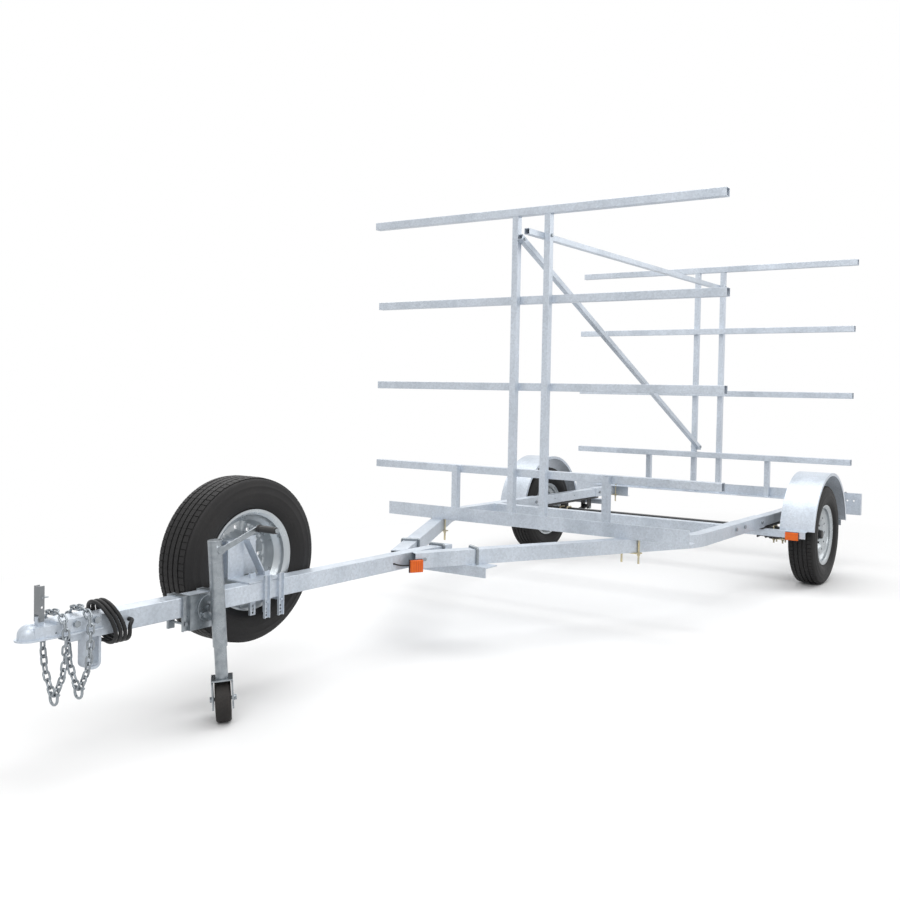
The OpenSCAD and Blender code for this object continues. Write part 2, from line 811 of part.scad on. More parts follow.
// A leaf is an arc in short flats, square to the axle
module leaf_strip(layer, reach) {
    inner = spring_radius + layer * leaf_step;
    angles = [for (i = [-leaf_flats:leaf_flats]) asin(reach / spring_radius) * i / leaf_flats];
    near = [for (angle = angles) inner * [cos(angle), sin(angle)]];
    far = [for (i = [2 * leaf_flats:-1:0]) (inner + leaf) * [cos(angles[i]), sin(angles[i])]];
    translate([-leaf_width / 2, 0, spring_centre_z]) rotate([0, 90, 0])
        linear_extrude(height = leaf_width) polygon(concat(near, far));
}

module leaf_springs() {
    reaches = [spring_half, 0.68 * spring_half, 0.42 * spring_half];
    color(black_paint) placed() both_sides() translate([rail_x, 0, 0]) {
        difference() {
            union() {
                leaf_strip(0, spring_half);
                translate([-leaf_width / 2, -spring_half, eye_z]) rotate([0, 90, 0])
                    cylinder(r = eye_radius, h = leaf_width);
            }
            rod_x([-leaf_width, leaf_width], -spring_half, eye_z, 2 * (eye_bore + seat));
        }
        for (layer = [1:leaf_count - 1]) leaf_strip(layer, reaches[layer]);
    }
}

module spring_hangers() {
    cheek = leaf_width / 2 + seat;
    color(black_paint) placed() both_sides() translate([rail_x, 0, 0]) difference() {
        union() {
            block([-half, half], [-saddle_reach, saddle_reach], [saddle_bottom, rail_bottom]);
            for (side = [0, 1]) mirror([side, 0, 0]) {
                block([cheek, cheek + hanger_wall], [-spring_half - 24, -spring_half + 24],
                    [eye_z - 22, saddle_bottom]);
                block([cheek, cheek + hanger_wall], [slipper_y - 28, slipper_y + 28],
                    [eye_z - 30, saddle_bottom]);
            }
        }
        rod_x([-tube, tube], -spring_half, eye_z, 2 * eye_bore + 2 * seat);
        rod_x([-tube, tube], slipper_y, eye_z - 22, 2 * eye_bore - 4 + 2 * seat);
    }
}

module spring_pins() {
    reach = leaf_width / 2 + hanger_wall + 2 * seat;
    color(zinc) placed() both_sides() translate([rail_x, 0, 0]) {
        bolt_x([-reach, reach], -spring_half, eye_z, 2 * eye_bore);
        bolt_x([-reach, reach], slipper_y, eye_z - 22, 2 * eye_bore - 4);
    }
}

module axle_beam() {
    color(black_paint) placed() {
        block([-beam_end, beam_end], [-axle_bar / 2, axle_bar / 2],
            [axle_z - axle_bar / 2, axle_z + axle_bar / 2]);
        for (side = [-1, 1]) on_axle(side > 0 ? beam_end - bite : -hub_outer_x)
            cylinder(d = spindle, h = hub_outer_x - beam_end + bite);
    }
}

module spring_seats() {
    low = seat_plate_low;
    width = 2 * spring_bolt_x;
    color(yellow_zinc) placed() both_sides() translate([rail_x, 0, 0]) {
        difference() {
            block([-spring_bolt_x - 14, spring_bolt_x + 14], [-spring_bolt_y - 14, spring_bolt_y + 14],
                [low, low + seat_plate]);
            for (y = [-1, 1]) translate([0, y * spring_bolt_y, 0])
                u_bolt_holes(width, spring_bolt, [low - bite, low + seat_plate + bite]);
        }
        for (side = [-1, 1]) translate([side * spring_bolt_x, 0, 0]) rotate([0, 0, 90])
            u_bolt(2 * spring_bolt_y, axle_z + axle_bar / 2 + seat + spring_bolt / 2, low - 24, spring_bolt,
                low - seat);
    }
}

// A profile given as [radius, place along the axle] points, turned round the wheel's axle
module turned(profile) {
    rotate_extrude($fn = 96) polygon(profile);
}

module stud_ring(radius) {
    for (step = [0:stud_count - 1]) rotate([0, 0, 360 * step / stud_count + 18])
        translate([radius, 0, 0]) children();
}

// Rim with its face towards +Z: barrel, drop well and dished disc
module rim() {
    edge = rim_width / 2;
    shelf = edge - 10;
    well = 20;
    difference() {
        union() {
            turned([
                [flange_radius, edge], [flange_radius - 5, edge], [seat_radius - rim_sheet, shelf - 2],
                [seat_radius - rim_sheet - 1, well + 18], [well_radius - rim_sheet, well + 2],
                [well_radius - rim_sheet, -well - 2], [seat_radius - rim_sheet - 1, -well - 18],
                [seat_radius - rim_sheet, -shelf + 2], [flange_radius - 5, -edge], [flange_radius, -edge],
                [flange_radius, -edge + 4], [seat_radius + 2, -shelf], [seat_radius, -shelf + 2],
                [seat_radius - 2, -well - 14], [well_radius, -well + 2], [well_radius, well - 2],
                [seat_radius - 2, well + 14], [seat_radius, shelf - 2], [seat_radius + 2, shelf],
                [flange_radius, edge - 4]
            ]);
            turned([
                [hub_bore, 0], [stud_circle + 22, 0], [stud_circle + 44, 24], [well_radius - 14, 30],
                [well_radius - rim_sheet + 0.5, 12], [well_radius - rim_sheet + 0.5, 20],
                [well_radius - 16, 38], [stud_circle + 40, 30], [stud_circle + 19, disc_sheet],
                [hub_bore, disc_sheet]
            ]);
        }
        stud_ring(stud_circle) translate([0, 0, -bite]) cylinder(d = stud + 1, h = 3 * disc_sheet);
        for (step = [0:11]) rotate([0, 0, 30 * step]) translate([stud_circle + 56, 0, 0])
            cylinder(d = 14, h = 60);
    }
}

// Tyre with four grooves round a flat tread
module tyre() {
    bead = rim_width / 2 - 12;
    belly = tyre_width / 2;
    tread = belly - 17;
    crown = tyre_radius;
    groove = 7;
    inside = seat_radius + seat;
    difference() {
        turned([
            [inside, bead - 2], [inside, bead - 16], [inside + 12, bead - 14], [inside + 50, belly - 12],
            [crown - 32, belly - 14], [crown - 14, tread - 12], [crown - 12, 0], [crown - 14, -tread + 12],
            [crown - 32, -belly + 14], [inside + 50, -belly + 12], [inside + 12, -bead + 14],
            [inside, -bead + 16], [inside, -bead + 2], [inside + 4, -bead - 1], [flange_radius + 3, -bead - 9],
            [inside + 40, -belly + 3], [inside + 66, -belly], [crown - 42, -belly + 2],
            [crown - 22, -belly + 6], [crown - 7, -tread - 4], [crown - 2, -tread + 4], [crown, -tread + 18],
            [crown, tread - 18], [crown - 2, tread - 4], [crown - 7, tread + 4], [crown - 22, belly - 6],
            [crown - 42, belly - 2], [inside + 66, belly], [inside + 40, belly - 3],
            [flange_radius + 3, bead + 9], [inside + 4, bead + 1]
        ]);
        for (x = [-39, -13, 13, 39]) translate([0, 0, x - groove / 2]) difference() {
            cylinder(r = crown + bite, h = groove);
            translate([0, 0, -bite]) cylinder(r = crown - 7, h = groove + 2 * bite);
        }
    }
}

module hub() {
    inner = hub_inner_x - wheel_x;
    outer = hub_outer_x - wheel_x;
    difference() {
        union() {
            translate([0, 0, inner]) cylinder(r = hub_body_radius + 6, h = -inner - hub_flange + bite);
            translate([0, 0, -hub_flange]) cylinder(r = hub_flange_radius, h = hub_flange);
            translate([0, 0, -bite]) cylinder(r = hub_body_radius - 1, h = outer - 4 + bite);
            stud_ring(stud_circle) cylinder(d = stud, h = 28);
        }
        translate([0, 0, inner - bite]) cylinder(r = bearing_radius - 4, h = outer - inner + 2 * bite);
        for (z = [inner - bite, outer - 4 - bearing_length]) translate([0, 0, z])
            cylinder(r = bearing_radius, h = bearing_length + bite);
    }
}

module bearings() {
    inner = hub_inner_x - wheel_x;
    outer = hub_outer_x - wheel_x;
    for (z = [inner + seat, outer - 4 - bearing_length + seat]) translate([0, 0, z]) difference() {
        cylinder(r = bearing_radius - running, h = bearing_length - 2 * seat);
        translate([0, 0, -bite]) cylinder(r = spindle / 2 + running, h = bearing_length + 2 * bite);
    }
}

module wheel_nuts() {
    stud_ring(stud_circle) translate([0, 0, disc_sheet + seat]) difference() {
        cylinder(d = 21, h = 15, $fn = 6);
        translate([0, 0, -bite]) cylinder(d = stud + 2 * seat, h = 30);
    }
}

module hub_cap() {
    outer = hub_outer_x - wheel_x - 4 + seat;
    difference() {
        union() {
            translate([0, 0, outer]) cylinder(r = cap_radius + 4, h = 4);
            translate([0, 0, outer]) cylinder(r = cap_radius, h = cap_length - 4);
            translate([0, 0, outer + cap_length - 4]) cylinder(r1 = cap_radius, r2 = cap_radius - 4, h = 4);
        }
        translate([0, 0, outer - bite]) cylinder(r = cap_radius - 3, h = cap_length - 3 + bite);
    }
}

module left_hub() { color(black_paint) placed() on_axle(wheel_x) hub(); }
module left_bearings() { color("silver") placed() on_axle(wheel_x) bearings(); }
module left_rim() { color(galvanised) placed() on_axle(wheel_x) rim(); }
module left_tyre() { color(rubber) placed() on_axle(wheel_x) tyre(); }
module left_wheel_nuts() { color(zinc) placed() on_axle(wheel_x) wheel_nuts(); }
module left_hub_cap() { color(black_paint) placed() on_axle(wheel_x) hub_cap(); }
module right_hub() { color(black_paint) placed() mirror([1, 0, 0]) on_axle(wheel_x) hub(); }
module right_bearings() { color("silver") placed() mirror([1, 0, 0]) on_axle(wheel_x) bearings(); }
module right_rim() { color(galvanised) placed() mirror([1, 0, 0]) on_axle(wheel_x) rim(); }
module right_tyre() { color(rubber) placed() mirror([1, 0, 0]) on_axle(wheel_x) tyre(); }
module right_wheel_nuts() { color(zinc) placed() mirror([1, 0, 0]) on_axle(wheel_x) wheel_nuts(); }
module right_hub_cap() { color(black_paint) placed() mirror([1, 0, 0]) on_axle(wheel_x) hub_cap(); }

// Coupling

// Outline of the coupling seen from above, grown by a value
module coupling_outline(grow) {
    r = dome_radius + grow;
    w = sleeve_half + grow;
    translate([0, -ball_ahead]) circle(r = r);
    polygon([[-r, -ball_ahead], [-w, sleeve_y], [-w, -coupling_back], [w, -coupling_back],
        [w, sleeve_y], [r, -ball_ahead]]);
}

module coupling_housing() {
    color(galvanised) placed() difference() {
        union() {
            intersection() {
                translate([0, -ball_ahead, dome_z]) sphere(r = dome_radius);
                translate([0, -ball_ahead, dome_z]) cylinder(r = 2 * dome_radius, h = 2 * dome_radius);
            }
            translate([0, -ball_ahead, lip_z]) cylinder(r = dome_radius, h = dome_z - lip_z);
            translate([0, 0, lip_z]) linear_extrude(5) coupling_outline(lip_width);
            intersection() {
                translate([0, 0, lip_z]) linear_extrude(sleeve_top - lip_z) coupling_outline(0);
                union() {
                    block([-tube, tube], [-ball_ahead, sleeve_y], [lip_z, sleeve_top - 9]);
                    block([-tube, tube], [sleeve_y - 12, -coupling_back], [lip_z, sleeve_top]);
                }
            }
            block([-8, 8], [lever_y - 9, lever_y + 9], [sleeve_top - 12, lever_pivot_z + 7]);
        }
        translate([0, -ball_ahead, dome_z]) sphere(r = socket_radius);
        translate([0, -ball_ahead, lip_z - bite]) cylinder(r = socket_radius, h = dome_z - lip_z + bite);
        block([-half - seat, half + seat], [sleeve_y + coupling_wall, -coupling_back + bite],
            [lip_z - bite, rail_top + seat]);
        block([-neck_half, neck_half], [-ball_ahead + 15, sleeve_y + coupling_wall + bite],
            [lip_z - bite, sleeve_top - 9 - coupling_wall]);
        for (y = coupling_bolts) rod_x([-tube, tube], y, coupling_bolt_z, coupling_bolt + 2 * seat);
        rod_x([-tube, tube], lever_y, lever_pivot_z, lever_pin + 2 * running);
        rod_x([-tube, tube], tongue_y, tongue_z, tongue_pin);
    }
}

// The raised lever is a channel, open to the rear, with two ears on the pivot pin
module coupling_lever() {
    side = lever_width / 2;
    foot = lever_pivot_z - 7;
    top = lever_pivot_z + lever_length;
    color(zinc) placed() {
        difference() {
            block([-side, side], [lever_y - lever_depth / 2, lever_y + lever_depth / 2], [foot, top]);
            block([-side + lever_wall, side - lever_wall],
                [lever_y - lever_depth / 2 + lever_wall, lever_y + lever_depth],
                [foot - bite, top + bite]);
            block([-side + lever_wall, side - lever_wall],
                [lever_y - lever_depth, lever_y + lever_depth], [foot - bite, lever_pivot_z + 14]);
            for (z = [34, 62]) rod_x([-tube, tube], lever_y + 1, lever_pivot_z + z, 7);
        }
        rod_x([-side + lever_wall - seat, side - lever_wall + seat], lever_y, lever_pivot_z, lever_pin);
        for (end = [-1, 1]) translate([end * (side + 1), 0, 0])
            rod_x([-1, 1], lever_y, lever_pivot_z, lever_pin + 4);
    }
}

// The trigger: a tab between the lever's cheeks, on a small pin
module coupling_trigger() {
    side = lever_width / 2 - lever_wall - seat;
    z = lever_pivot_z + 62;
    color(zinc) placed() {
        difference() {
            union() {
                rod_x([-side, side], lever_y + 1, z, 11);
                block([-side, side], [lever_y, lever_y + 22], [z - 3, z]);
            }
        }
        rod_x([-lever_width / 2 - 1, lever_width / 2 + 1], lever_y + 1, z, 6);
    }
}

// The tongue closes under the ball, inside the neck
module coupling_tongue() {
    width = neck_half - 3;
    color(zinc) placed() {
        difference() {
            block([-width, width], [-ball_ahead + 22, tongue_y + 6], [tongue_z - 9, tongue_z + 6]);
            translate([0, -ball_ahead, dome_z]) sphere(r = socket_radius + seat);
            translate([0, -ball_ahead, lip_z - bite])
                cylinder(r = socket_radius + seat, h = dome_z - lip_z + bite);
        }
        rod_x([-sleeve_half + 3, sleeve_half - 3], tongue_y, tongue_z, tongue_pin - 2 * running);
    }
}

module safety_loop() {
    x = loop_width / 2;
    low = rail_bottom - loop_depth;
    outer = 20;
    color(galvanised) placed() difference() {
        union() {
            block([-x, x], [loop_front, loop_back], [low + outer, rail_bottom]);
            block([-x, x], [loop_front + outer, loop_back - outer], [low, low + outer + bite]);
            for (y = [loop_front + outer, loop_back - outer]) rod_x([-x, x], y, low + outer, 2 * outer);
        }
        inner = outer - loop_bar;
        block([-x - bite, x + bite], [loop_front + loop_bar, loop_back - loop_bar],
            [low + outer, rail_bottom + bite]);
        block([-x - bite, x + bite], [loop_front + outer, loop_back - outer],
            [low + loop_bar, low + outer + bite]);
        for (y = [loop_front + outer, loop_back - outer])
            rod_x([-x - bite, x + bite], y, low + outer, 2 * inner);
    }
}

// Chains: each hangs from an arch over the coupling, and its two strands meet at a shackle below

function lerp(a, b, t) = a + (b - a) * t;

// Point on a path of straight stretches at a distance along it
function path_point(path, distance, index = 0) =
    let (reach = norm(path[index + 1] - path[index]))
    distance <= reach || index == len(path) - 2
        ? lerp(path[index], path[index + 1], distance / reach)
        : path_point(path, distance - reach, index + 1);

// Distance along a path where the straight line from another place on it has the length of one link
function next_place(path, from, guess, tries = 8) =
    tries == 0 ? guess
        : next_place(path, from,
            guess + link_span - norm(path_point(path, guess) - path_point(path, from)), tries - 1);

function link_places(path, count, at) =
    count == 0 ? [path_point(path, at)]
        : concat([path_point(path, at)], link_places(path, count - 1, next_place(path, at, at + link_span)));

// One strand, from the middle of the arch down to the shackle, in the plane across the trailer
arch_radius = 48;
arch_half = 58;
arch_top = sleeve_top + 21;
strand_links = 12;
strand_path = concat(
    [[0, arch_top]],
    [for (angle = [90:-15:0]) [arch_half - arch_radius + arch_radius * cos(angle),
        arch_top - arch_radius + arch_radius * sin(angle)]],
    [[arch_half, 350], [50, 300], [38, 262], [-10, 190]]
);
strand = link_places(strand_path, strand_links, link_span / 2);
joints = concat([for (k = [strand_links:-1:0]) [-strand[k][0], strand[k][1]]], strand);
strand_foot = strand[strand_links];
wrap_links = 4;

module link(wire, pitch) {
    bend = wire / 2 + 5.5;
    straight = pitch / 2 - bend + wire / 2;
    for (side = [-1, 1]) {
        translate([side * bend, 0, -straight]) cylinder(d = wire, h = 2 * straight);
        translate([0, 0, side * straight]) rotate([90, 0, 0]) rotate([0, 0, side > 0 ? 0 : 180])
            rotate_extrude(angle = 180) translate([bend, 0]) circle(d = wire);
    }
}

// One link whose two ends hang at points a and b of the plane across the trailer
module link_between(a, b, turn) {
    along = (b - a) / norm(b - a);
    middle = (a + b) / 2;
    translate([middle[0], 0, middle[1]]) rotate([0, atan2(along[0], along[1]), 0])
        rotate([0, 0, turn]) link(chain_wire, link_pitch);
}

// The links of a chain whose number, counted from the top one, lies in a range
module chain(y, first, last) {
    translate([0, y, 0]) for (index = [0:2 * strand_links]) {
        count = abs(index - strand_links);
        twist = 45 * min(1, max(0, (8.5 - count) / 4));
        if (count >= first && count <= last) link_between(joints[index], joints[index + 1],
            90 * (index + 1) + twist);
    }
}

// A bow shackle on the two lowest links, with its pin across the trailer
module shackle(y) {
    wire = 8;
    reach = 18;
    pin_z = strand_foot[1] - link_pitch / 2 + link_span / 2 + wire / 2 + 2 * seat;
    translate([0, y, pin_z - 14]) {
        rotate([90, 0, 0]) rotate([0, 0, 180])
            rotate_extrude(angle = 180) translate([reach, 0]) circle(d = wire);
        for (side = [-1, 1]) translate([side * reach, 0, 0]) cylinder(d = wire, h = 14 + wire / 2);
        rod_x([-reach - wire, reach + wire], 0, 14, wire);
    }
}

front_chain_y = -drawbar_front - 30;
rear_chain_y = -drawbar_front + 46;

module chain_wraps() {
    color(zinc) placed() for (y = [front_chain_y, rear_chain_y]) chain(y, 0, wrap_links);
}

module front_chain() {
    color(zinc) placed() {
        chain(front_chain_y, wrap_links + 1, strand_links);
        shackle(front_chain_y);
    }
}

module rear_chain() {
    color(zinc) placed() {
        chain(rear_chain_y, wrap_links + 1, strand_links);
        shackle(rear_chain_y);
    }
}

// Wiring

function turn_point(angle) = [
    turn_half_width * cos(angle),
    turn_first_y + turn_pitch * (angle - turn_start) / 360 - turn_slant * sin(angle),
    rail_mid + turn_half_height * sin(angle)
];

turn_end = turn_start + 360 * turns + 80;
lead_in = [[plug_x, plug_y, plug_z - 4], [plug_x, plug_y, plug_z - 16], [-72, -4100, 350], [-50, -4092, 338]];
lead_out = [[57, -4050, 384], [51, -4040, 396], [45, -4037, 399], [30, -4037, 399]];
cable_route = concat(
    lead_in,
    [for (angle = [turn_start:360 / turn_steps:turn_end]) turn_point(angle)],
    lead_out
);

// A tube swept along points, its rings square to the path and closed at both ends
module swept(route, size, sides) {
    count = len(route);
    headings = [for (i = [0:count - 1])
        let (d = route[min(i + 1, count - 1)] - route[max(i - 1, 0)]) d / norm(d)];
    rings = [for (i = [0:count - 1])
        let (
            h = headings[i],
            side = cross(h, [0, 1, 0.2]),
            u = side / norm(side),
            v = cross(h, u)
        )
        [for (k = [0:sides - 1]) route[i] + size / 2 * (cos(360 * k / sides) * u + sin(360 * k / sides) * v)]];
    points = [for (ring = rings, p = ring) p];
    walls = [for (i = [0:count - 2], k = [0:sides - 1])
        let (a = i * sides + k, b = i * sides + (k + 1) % sides)
        each [[a, a + sides, b], [b, a + sides, b + sides]]];
    caps = [for (k = [1:sides - 2]) each [[0, k, k + 1],
        [(count - 1) * sides, (count - 1) * sides + k + 1, (count - 1) * sides + k]]];
    polyhedron(points = points, faces = concat(walls, caps), convexity = 8);
}

module wiring_cable() {
    gaps = [for (i = [0:len(cable_route) - 1], j = [i + 12:1:len(cable_route) - 1])
        norm(cable_route[i] - cable_route[j]) - cable];
    echo(least_cable_gap = min(gaps));
    echo(strand_foot = strand_foot, hang = strand[wrap_links]);
    color(black_paint) placed() swept(cable_route, cable, 6);
}

module wiring_plug() {
    low = plug_z - 4;
    color(black_paint) placed() {
        rod_z(plug_x, plug_y, [low, low + 10], cable + 5);
        block([plug_x - plug_size[0] / 2, plug_x + plug_size[0] / 2],
            [plug_y - plug_size[1] / 2, plug_y + plug_size[1] / 2], [low + 9, low + plug_size[2]]);
    }
}

module lamp_leads() {
    y = nose_y;
    z = rail_mid;
    color(black_paint) placed() both_sides()
        swept([[half - 4, y - 113, z - 2], [half + 5, y - 110, z - 3], [half + 9, y - 95, z - 8],
            [half + 10.7, y - 70, z - 14], [half + 12.2, y - 48, z - 16],
            [half + 22.8, y - 33.6, z - 17]], 6, 8);
}

// Jockey wheel

// The jockey's own frame: origin at its pivot on the tube's axis, +Z up the tube
module on_jockey() {
    translate([jockey_side, -jockey_ahead, jockey_pivot]) rotate([jockey_lean, 0, 0]) children();
}

// The castor's frame: origin at the level of the wheel's axle, +Y the way the wheel trails
module on_castor() {
    on_jockey() translate([0, 0, -castor_drop]) rotate([0, 0, castor_turn]) children();
}

module jockey_clamp() {
    near = half + seat;
    reach = clamp_channel / 2;
    head_x = swivel_x + swivel_plate + 3 * seat;
    color(zinc) placed() translate([0, -jockey_ahead, 0]) difference() {
        union() {
            for (y = [-clamp_ahead, clamp_behind]) translate([0, y, 0]) {
                both_sides() clamp_side(near);
                block([-near - 3, near + 3], [-reach, reach], [rail_top + seat, rail_top + seat + 4]);
            }
            block([near + clamp_depth - 5, swivel_x], [reach - clamp_ahead - 2, clamp_behind - reach + 2],
                [clamp_foot, rail_top + 4]);
            rod_x([swivel_x - 4, head_x + bite], 0, jockey_pivot, pivot_pin);
            rod_x([head_x, head_x + 6], 0, jockey_pivot, pivot_pin + 10);
        }
        lock_pin_place() rod_x([-tube, 0], 0, 0, lock_pin + 2 * running);
        clamp_bolt_places() rod_x([-tube, near + 4], 0, 0, small_bolt + 2 * seat);
    }
}

// The lock pin's line, measured from the jockey's pivot; its origin is the inner face of the swivel disc
module lock_pin_place() {
    translate([swivel_x + seat, 0, jockey_pivot]) rotate([jockey_lean, 0, 0])
        translate([0, lock_pin_y, lock_pin_z]) children();
}

module clamp_bolt_places() {
    for (y = [-clamp_ahead, clamp_behind]) translate([0, y, rail_bottom - 22]) children();
}

// One folded side of a clamp: a channel along the tube's face with its flanges outwards
module clamp_side(near) {
    reach = clamp_channel / 2;
    difference() {
        block([near, near + clamp_depth], [-reach, reach], [clamp_foot, clamp_top]);
        block([near + 3, near + clamp_depth + bite], [-reach + 3, reach - 3],
            [clamp_foot - bite, clamp_top + bite]);
    }
}

module jockey_outer_tube() {
    plate_x = swivel_x + seat - jockey_side;
    color(zinc) placed() difference() {
        union() {
            on_jockey() {
                translate([0, 0, -jockey_skirt]) cylinder(d = jockey_outer, h = jockey_skirt + jockey_head);
                translate([plate_x, 0, 0]) rotate([0, 90, 0]) cylinder(r = 46, h = swivel_plate);
                for (side = [-1, 1]) translate([plate_x, -9, side * 32 - 7]) cube([-plate_x, 18, 14]);
                translate([0, 0, crank_z]) rotate([0, 90, 0]) cylinder(d = 26, h = crank_x);
            }
            translate([0, -jockey_ahead, 0]) lock_pin_place()
                rod_x([0, swivel_plate + lock_collar], 0, 0, lock_pin + 8);
        }
        on_jockey() {
            translate([0, 0, -jockey_skirt - bite])
                cylinder(d = jockey_inner + 2 * seat, h = jockey_skirt + jockey_head - 3 + bite);
            translate([plate_x - bite, 0, 0]) rotate([0, 90, 0])
                cylinder(d = pivot_pin + 2 * running, h = swivel_plate + 2 * bite);
            translate([0, 0, crank_z]) rotate([0, 90, 0])
                cylinder(d = crank_shaft + 2 * running, h = crank_x + bite);
        }
        translate([0, -jockey_ahead, 0]) lock_pin_place()
            rod_x([-bite, swivel_plate + lock_collar + bite], 0, 0, lock_pin + 2 * running);
    }
}

// The lock pin is drawn back: it slides into the clamp's plate by its travel
module jockey_lock_pin() {
    back = swivel_plate + lock_collar + lock_pin_travel + seat;
    color(zinc) placed() translate([0, -jockey_ahead, 0]) lock_pin_place() {
        rod_x([0, back + bite], 0, 0, lock_pin);
        rod_x([back, back + 7], 0, 0, lock_pin + 9);
    }
}

// The crank's frame is the shaft's: the arm leads to the rear and a little up
module jockey_crank() {
    arm_x = crank_x + seat;
    grip_x = arm_x + crank_strap;
    color(zinc) placed() on_jockey() translate([0, 0, crank_z]) {
        translate([5, 0, 0]) rotate([0, 90, 0]) cylinder(d = crank_shaft, h = arm_x + crank_strap - 5);
        translate([5, 0, 0]) rotate([0, 90, 0]) cylinder(r1 = 9, r2 = 9, h = 6);
        rotate([crank_rise - jockey_lean, 0, 0]) {
            translate([arm_x, 0, -9]) cube([crank_strap, crank_length, 18]);
            translate([arm_x, crank_length, 0]) rotate([0, 90, 0]) cylinder(d = 22, h = crank_strap);
            translate([arm_x, 0, 0]) rotate([0, 90, 0]) cylinder(d = 28, h = crank_strap);
            translate([grip_x - bite, crank_length, 0]) rotate([0, 90, 0])
                cylinder(d = 10, h = grip_length + 4 + bite);
            translate([grip_x + grip_length + 1, crank_length, 0]) rotate([0, 90, 0])
                cylinder(d = 16, h = 3);
        }
    }
}

module jockey_grip() {
    color(black_paint) placed() on_jockey() translate([0, 0, crank_z]) rotate([crank_rise - jockey_lean, 0, 0])
        translate([crank_x + crank_strap + 2 * seat, crank_length, 0]) rotate([0, 90, 0]) difference() {
            union() {
                cylinder(r = grip_radius - 2, h = grip_length);
                cylinder(r = grip_radius, h = 8);
                translate([0, 0, 20]) cylinder(r = grip_radius - 1, h = grip_length - 30);
            }
            translate([0, 0, -bite]) cylinder(d = 10 + 4 * running, h = grip_length + 2 * bite);
        }
}

module jockey_screw() {
    color(zinc) placed() on_jockey() {
        translate([0, 0, screw_foot]) cylinder(d = screw, h = screw_top - screw_foot);
        translate([0, 0, screw_top - 8]) cylinder(d = jockey_inner - 4, h = 7);
    }
}

module jockey_inner_tube() {
    color(zinc) placed() on_jockey() difference() {
        translate([0, 0, -fork_top]) cylinder(d = jockey_inner, h = fork_top + inner_top);
        translate([0, 0, -fork_top + 12]) cylinder(d = jockey_inner - 2 * inner_wall,
            h = fork_top + inner_top - nut_height - 12);
        translate([0, 0, screw_foot - bite])
            cylinder(d = screw + 4 * running, h = inner_top - screw_foot + 2 * bite);
        translate([0, 0, -fork_top - bite]) cylinder(d = stem + 2 * running, h = stem_length + bite);
    }
}

module jockey_fork() {
    crown_z = castor_drop - fork_top - seat;
    color(zinc) placed() on_castor() {
        translate([-fork_half - fork_sheet, -30, crown_z - fork_sheet])
            cube([2 * (fork_half + fork_sheet), 66, fork_sheet]);
        translate([0, 0, crown_z - bite]) cylinder(d = stem, h = stem_length + bite - seat);
        for (side = [0, 1]) mirror([side, 0, 0]) intersection() {
            translate([fork_half, -30, -16]) cube([fork_sheet, 66, crown_z + 16]);
            translate([fork_half, castor_trail - 10, 0]) rotate([0, 90, 0]) cylinder(r = 88, h = fork_sheet);
        }
        translate([-fork_half - fork_sheet - 8, castor_trail, 0]) rotate([0, 90, 0])
            cylinder(d = 19, h = 8, $fn = 6);
        translate([fork_half + fork_sheet, castor_trail, 0]) rotate([0, 90, 0])
            cylinder(d = 19, h = 9, $fn = 6);
        translate([-fork_half - bite, castor_trail, 0]) rotate([0, 90, 0])
            cylinder(d = castor_axle, h = 2 * (fork_half + bite));
    }
}

module jockey_wheel() {
    r = castor_radius;
    w = castor_width / 2;
    e = castor_edge;
    color(rubber) placed() on_castor() translate([0, castor_trail, 0]) rotate([0, 90, 0]) difference() {
        rotate_extrude($fn = 96) difference() {
            union() {
                translate([0, -w]) square([r - e, 2 * w]);
                translate([0, -w + e]) square([r, 2 * w - 2 * e]);
                for (side = [-1, 1]) translate([r - e, side * (w - e)]) circle(r = e);
            }
            translate([-r, -r]) square([r + castor_axle / 2 + running, 2 * r]);
            for (side = [-1, 1]) translate([20, side * w - 5]) square([26, 10]);
        }
    }
}

// Spare wheel

module spare_carrier() {
    near = half + seat;
    top = rail_top + seat;
    stem_y = carrier_y - 62;
    arm_top = carrier_hub_z + hub_flange_radius + 8;
    foot_y = stem_y + 35 + (arm_top - top) / tan(61);
    color(galvanised) placed() difference() {
        union() {
            // Two perforated straps on each side of the drawbar, tied over and under it
            for (step = [-0.5, 0.5]) translate([0, strap_y + step * strap_spread, 0]) {
                both_sides() strap(near, [rail_bottom - strap_drop, top + 20]);
                block([-near - 1, near + 1], [-strap_width / 2, strap_width / 2], [top, top + 4]);
                rod_x([-near - 12, near + 12], 0, rail_bottom - strap_tie, strap_tie);
            }
            // Base plate on the drawbar and the arm that reaches into the wheel
            block([-near - 12, near], [stem_y - 35, strap_y + (strap_spread + strap_width) / 2],
                [top, top + 5]);
            block([-near - 50, -near - 7], [stem_y - 35, foot_y + 5], [top, top + 5]);
            block([-near - 50, -near - 45], [stem_y - 35, stem_y + 35], [top, arm_top]);
            block([carrier_x, -near - 45], [stem_y - 35, stem_y + 35], [arm_top - 5, arm_top]);
            block([carrier_x, carrier_x + 6], [stem_y - 35, carrier_y + hub_flange_radius],
                [carrier_hub_z - 62, arm_top]);
            // Diagonal flat from the arm's head back to the drawbar
            translate([-near - 28, stem_y + 35, arm_top]) rotate([-61, 0, 0])
                translate([-19, -3, -5]) cube([38, (arm_top - top - 1) / sin(61) + 3, 5]);
            carrier_studs() cylinder(d = stud, h = disc_sheet + 18 + seat);
        }
        for (step = [-0.5, 0.5], z = [-56, -44, -32]) translate([0, strap_y + step * strap_spread, 0])
            rod_x([-tube, tube], 0, rail_bottom + z, strap_hole);
    }
}

// A strap is a channel with its back to the drawbar
module strap(near, z) {
    difference() {
        block([near, near + strap_depth], [-strap_width / 2, strap_width / 2], z);
        block([near + strap_wall, near + strap_depth + bite],
            [-strap_width / 2 + strap_wall, strap_width / 2 - strap_wall], [z[0] - bite, z[1] + bite]);
    }
}

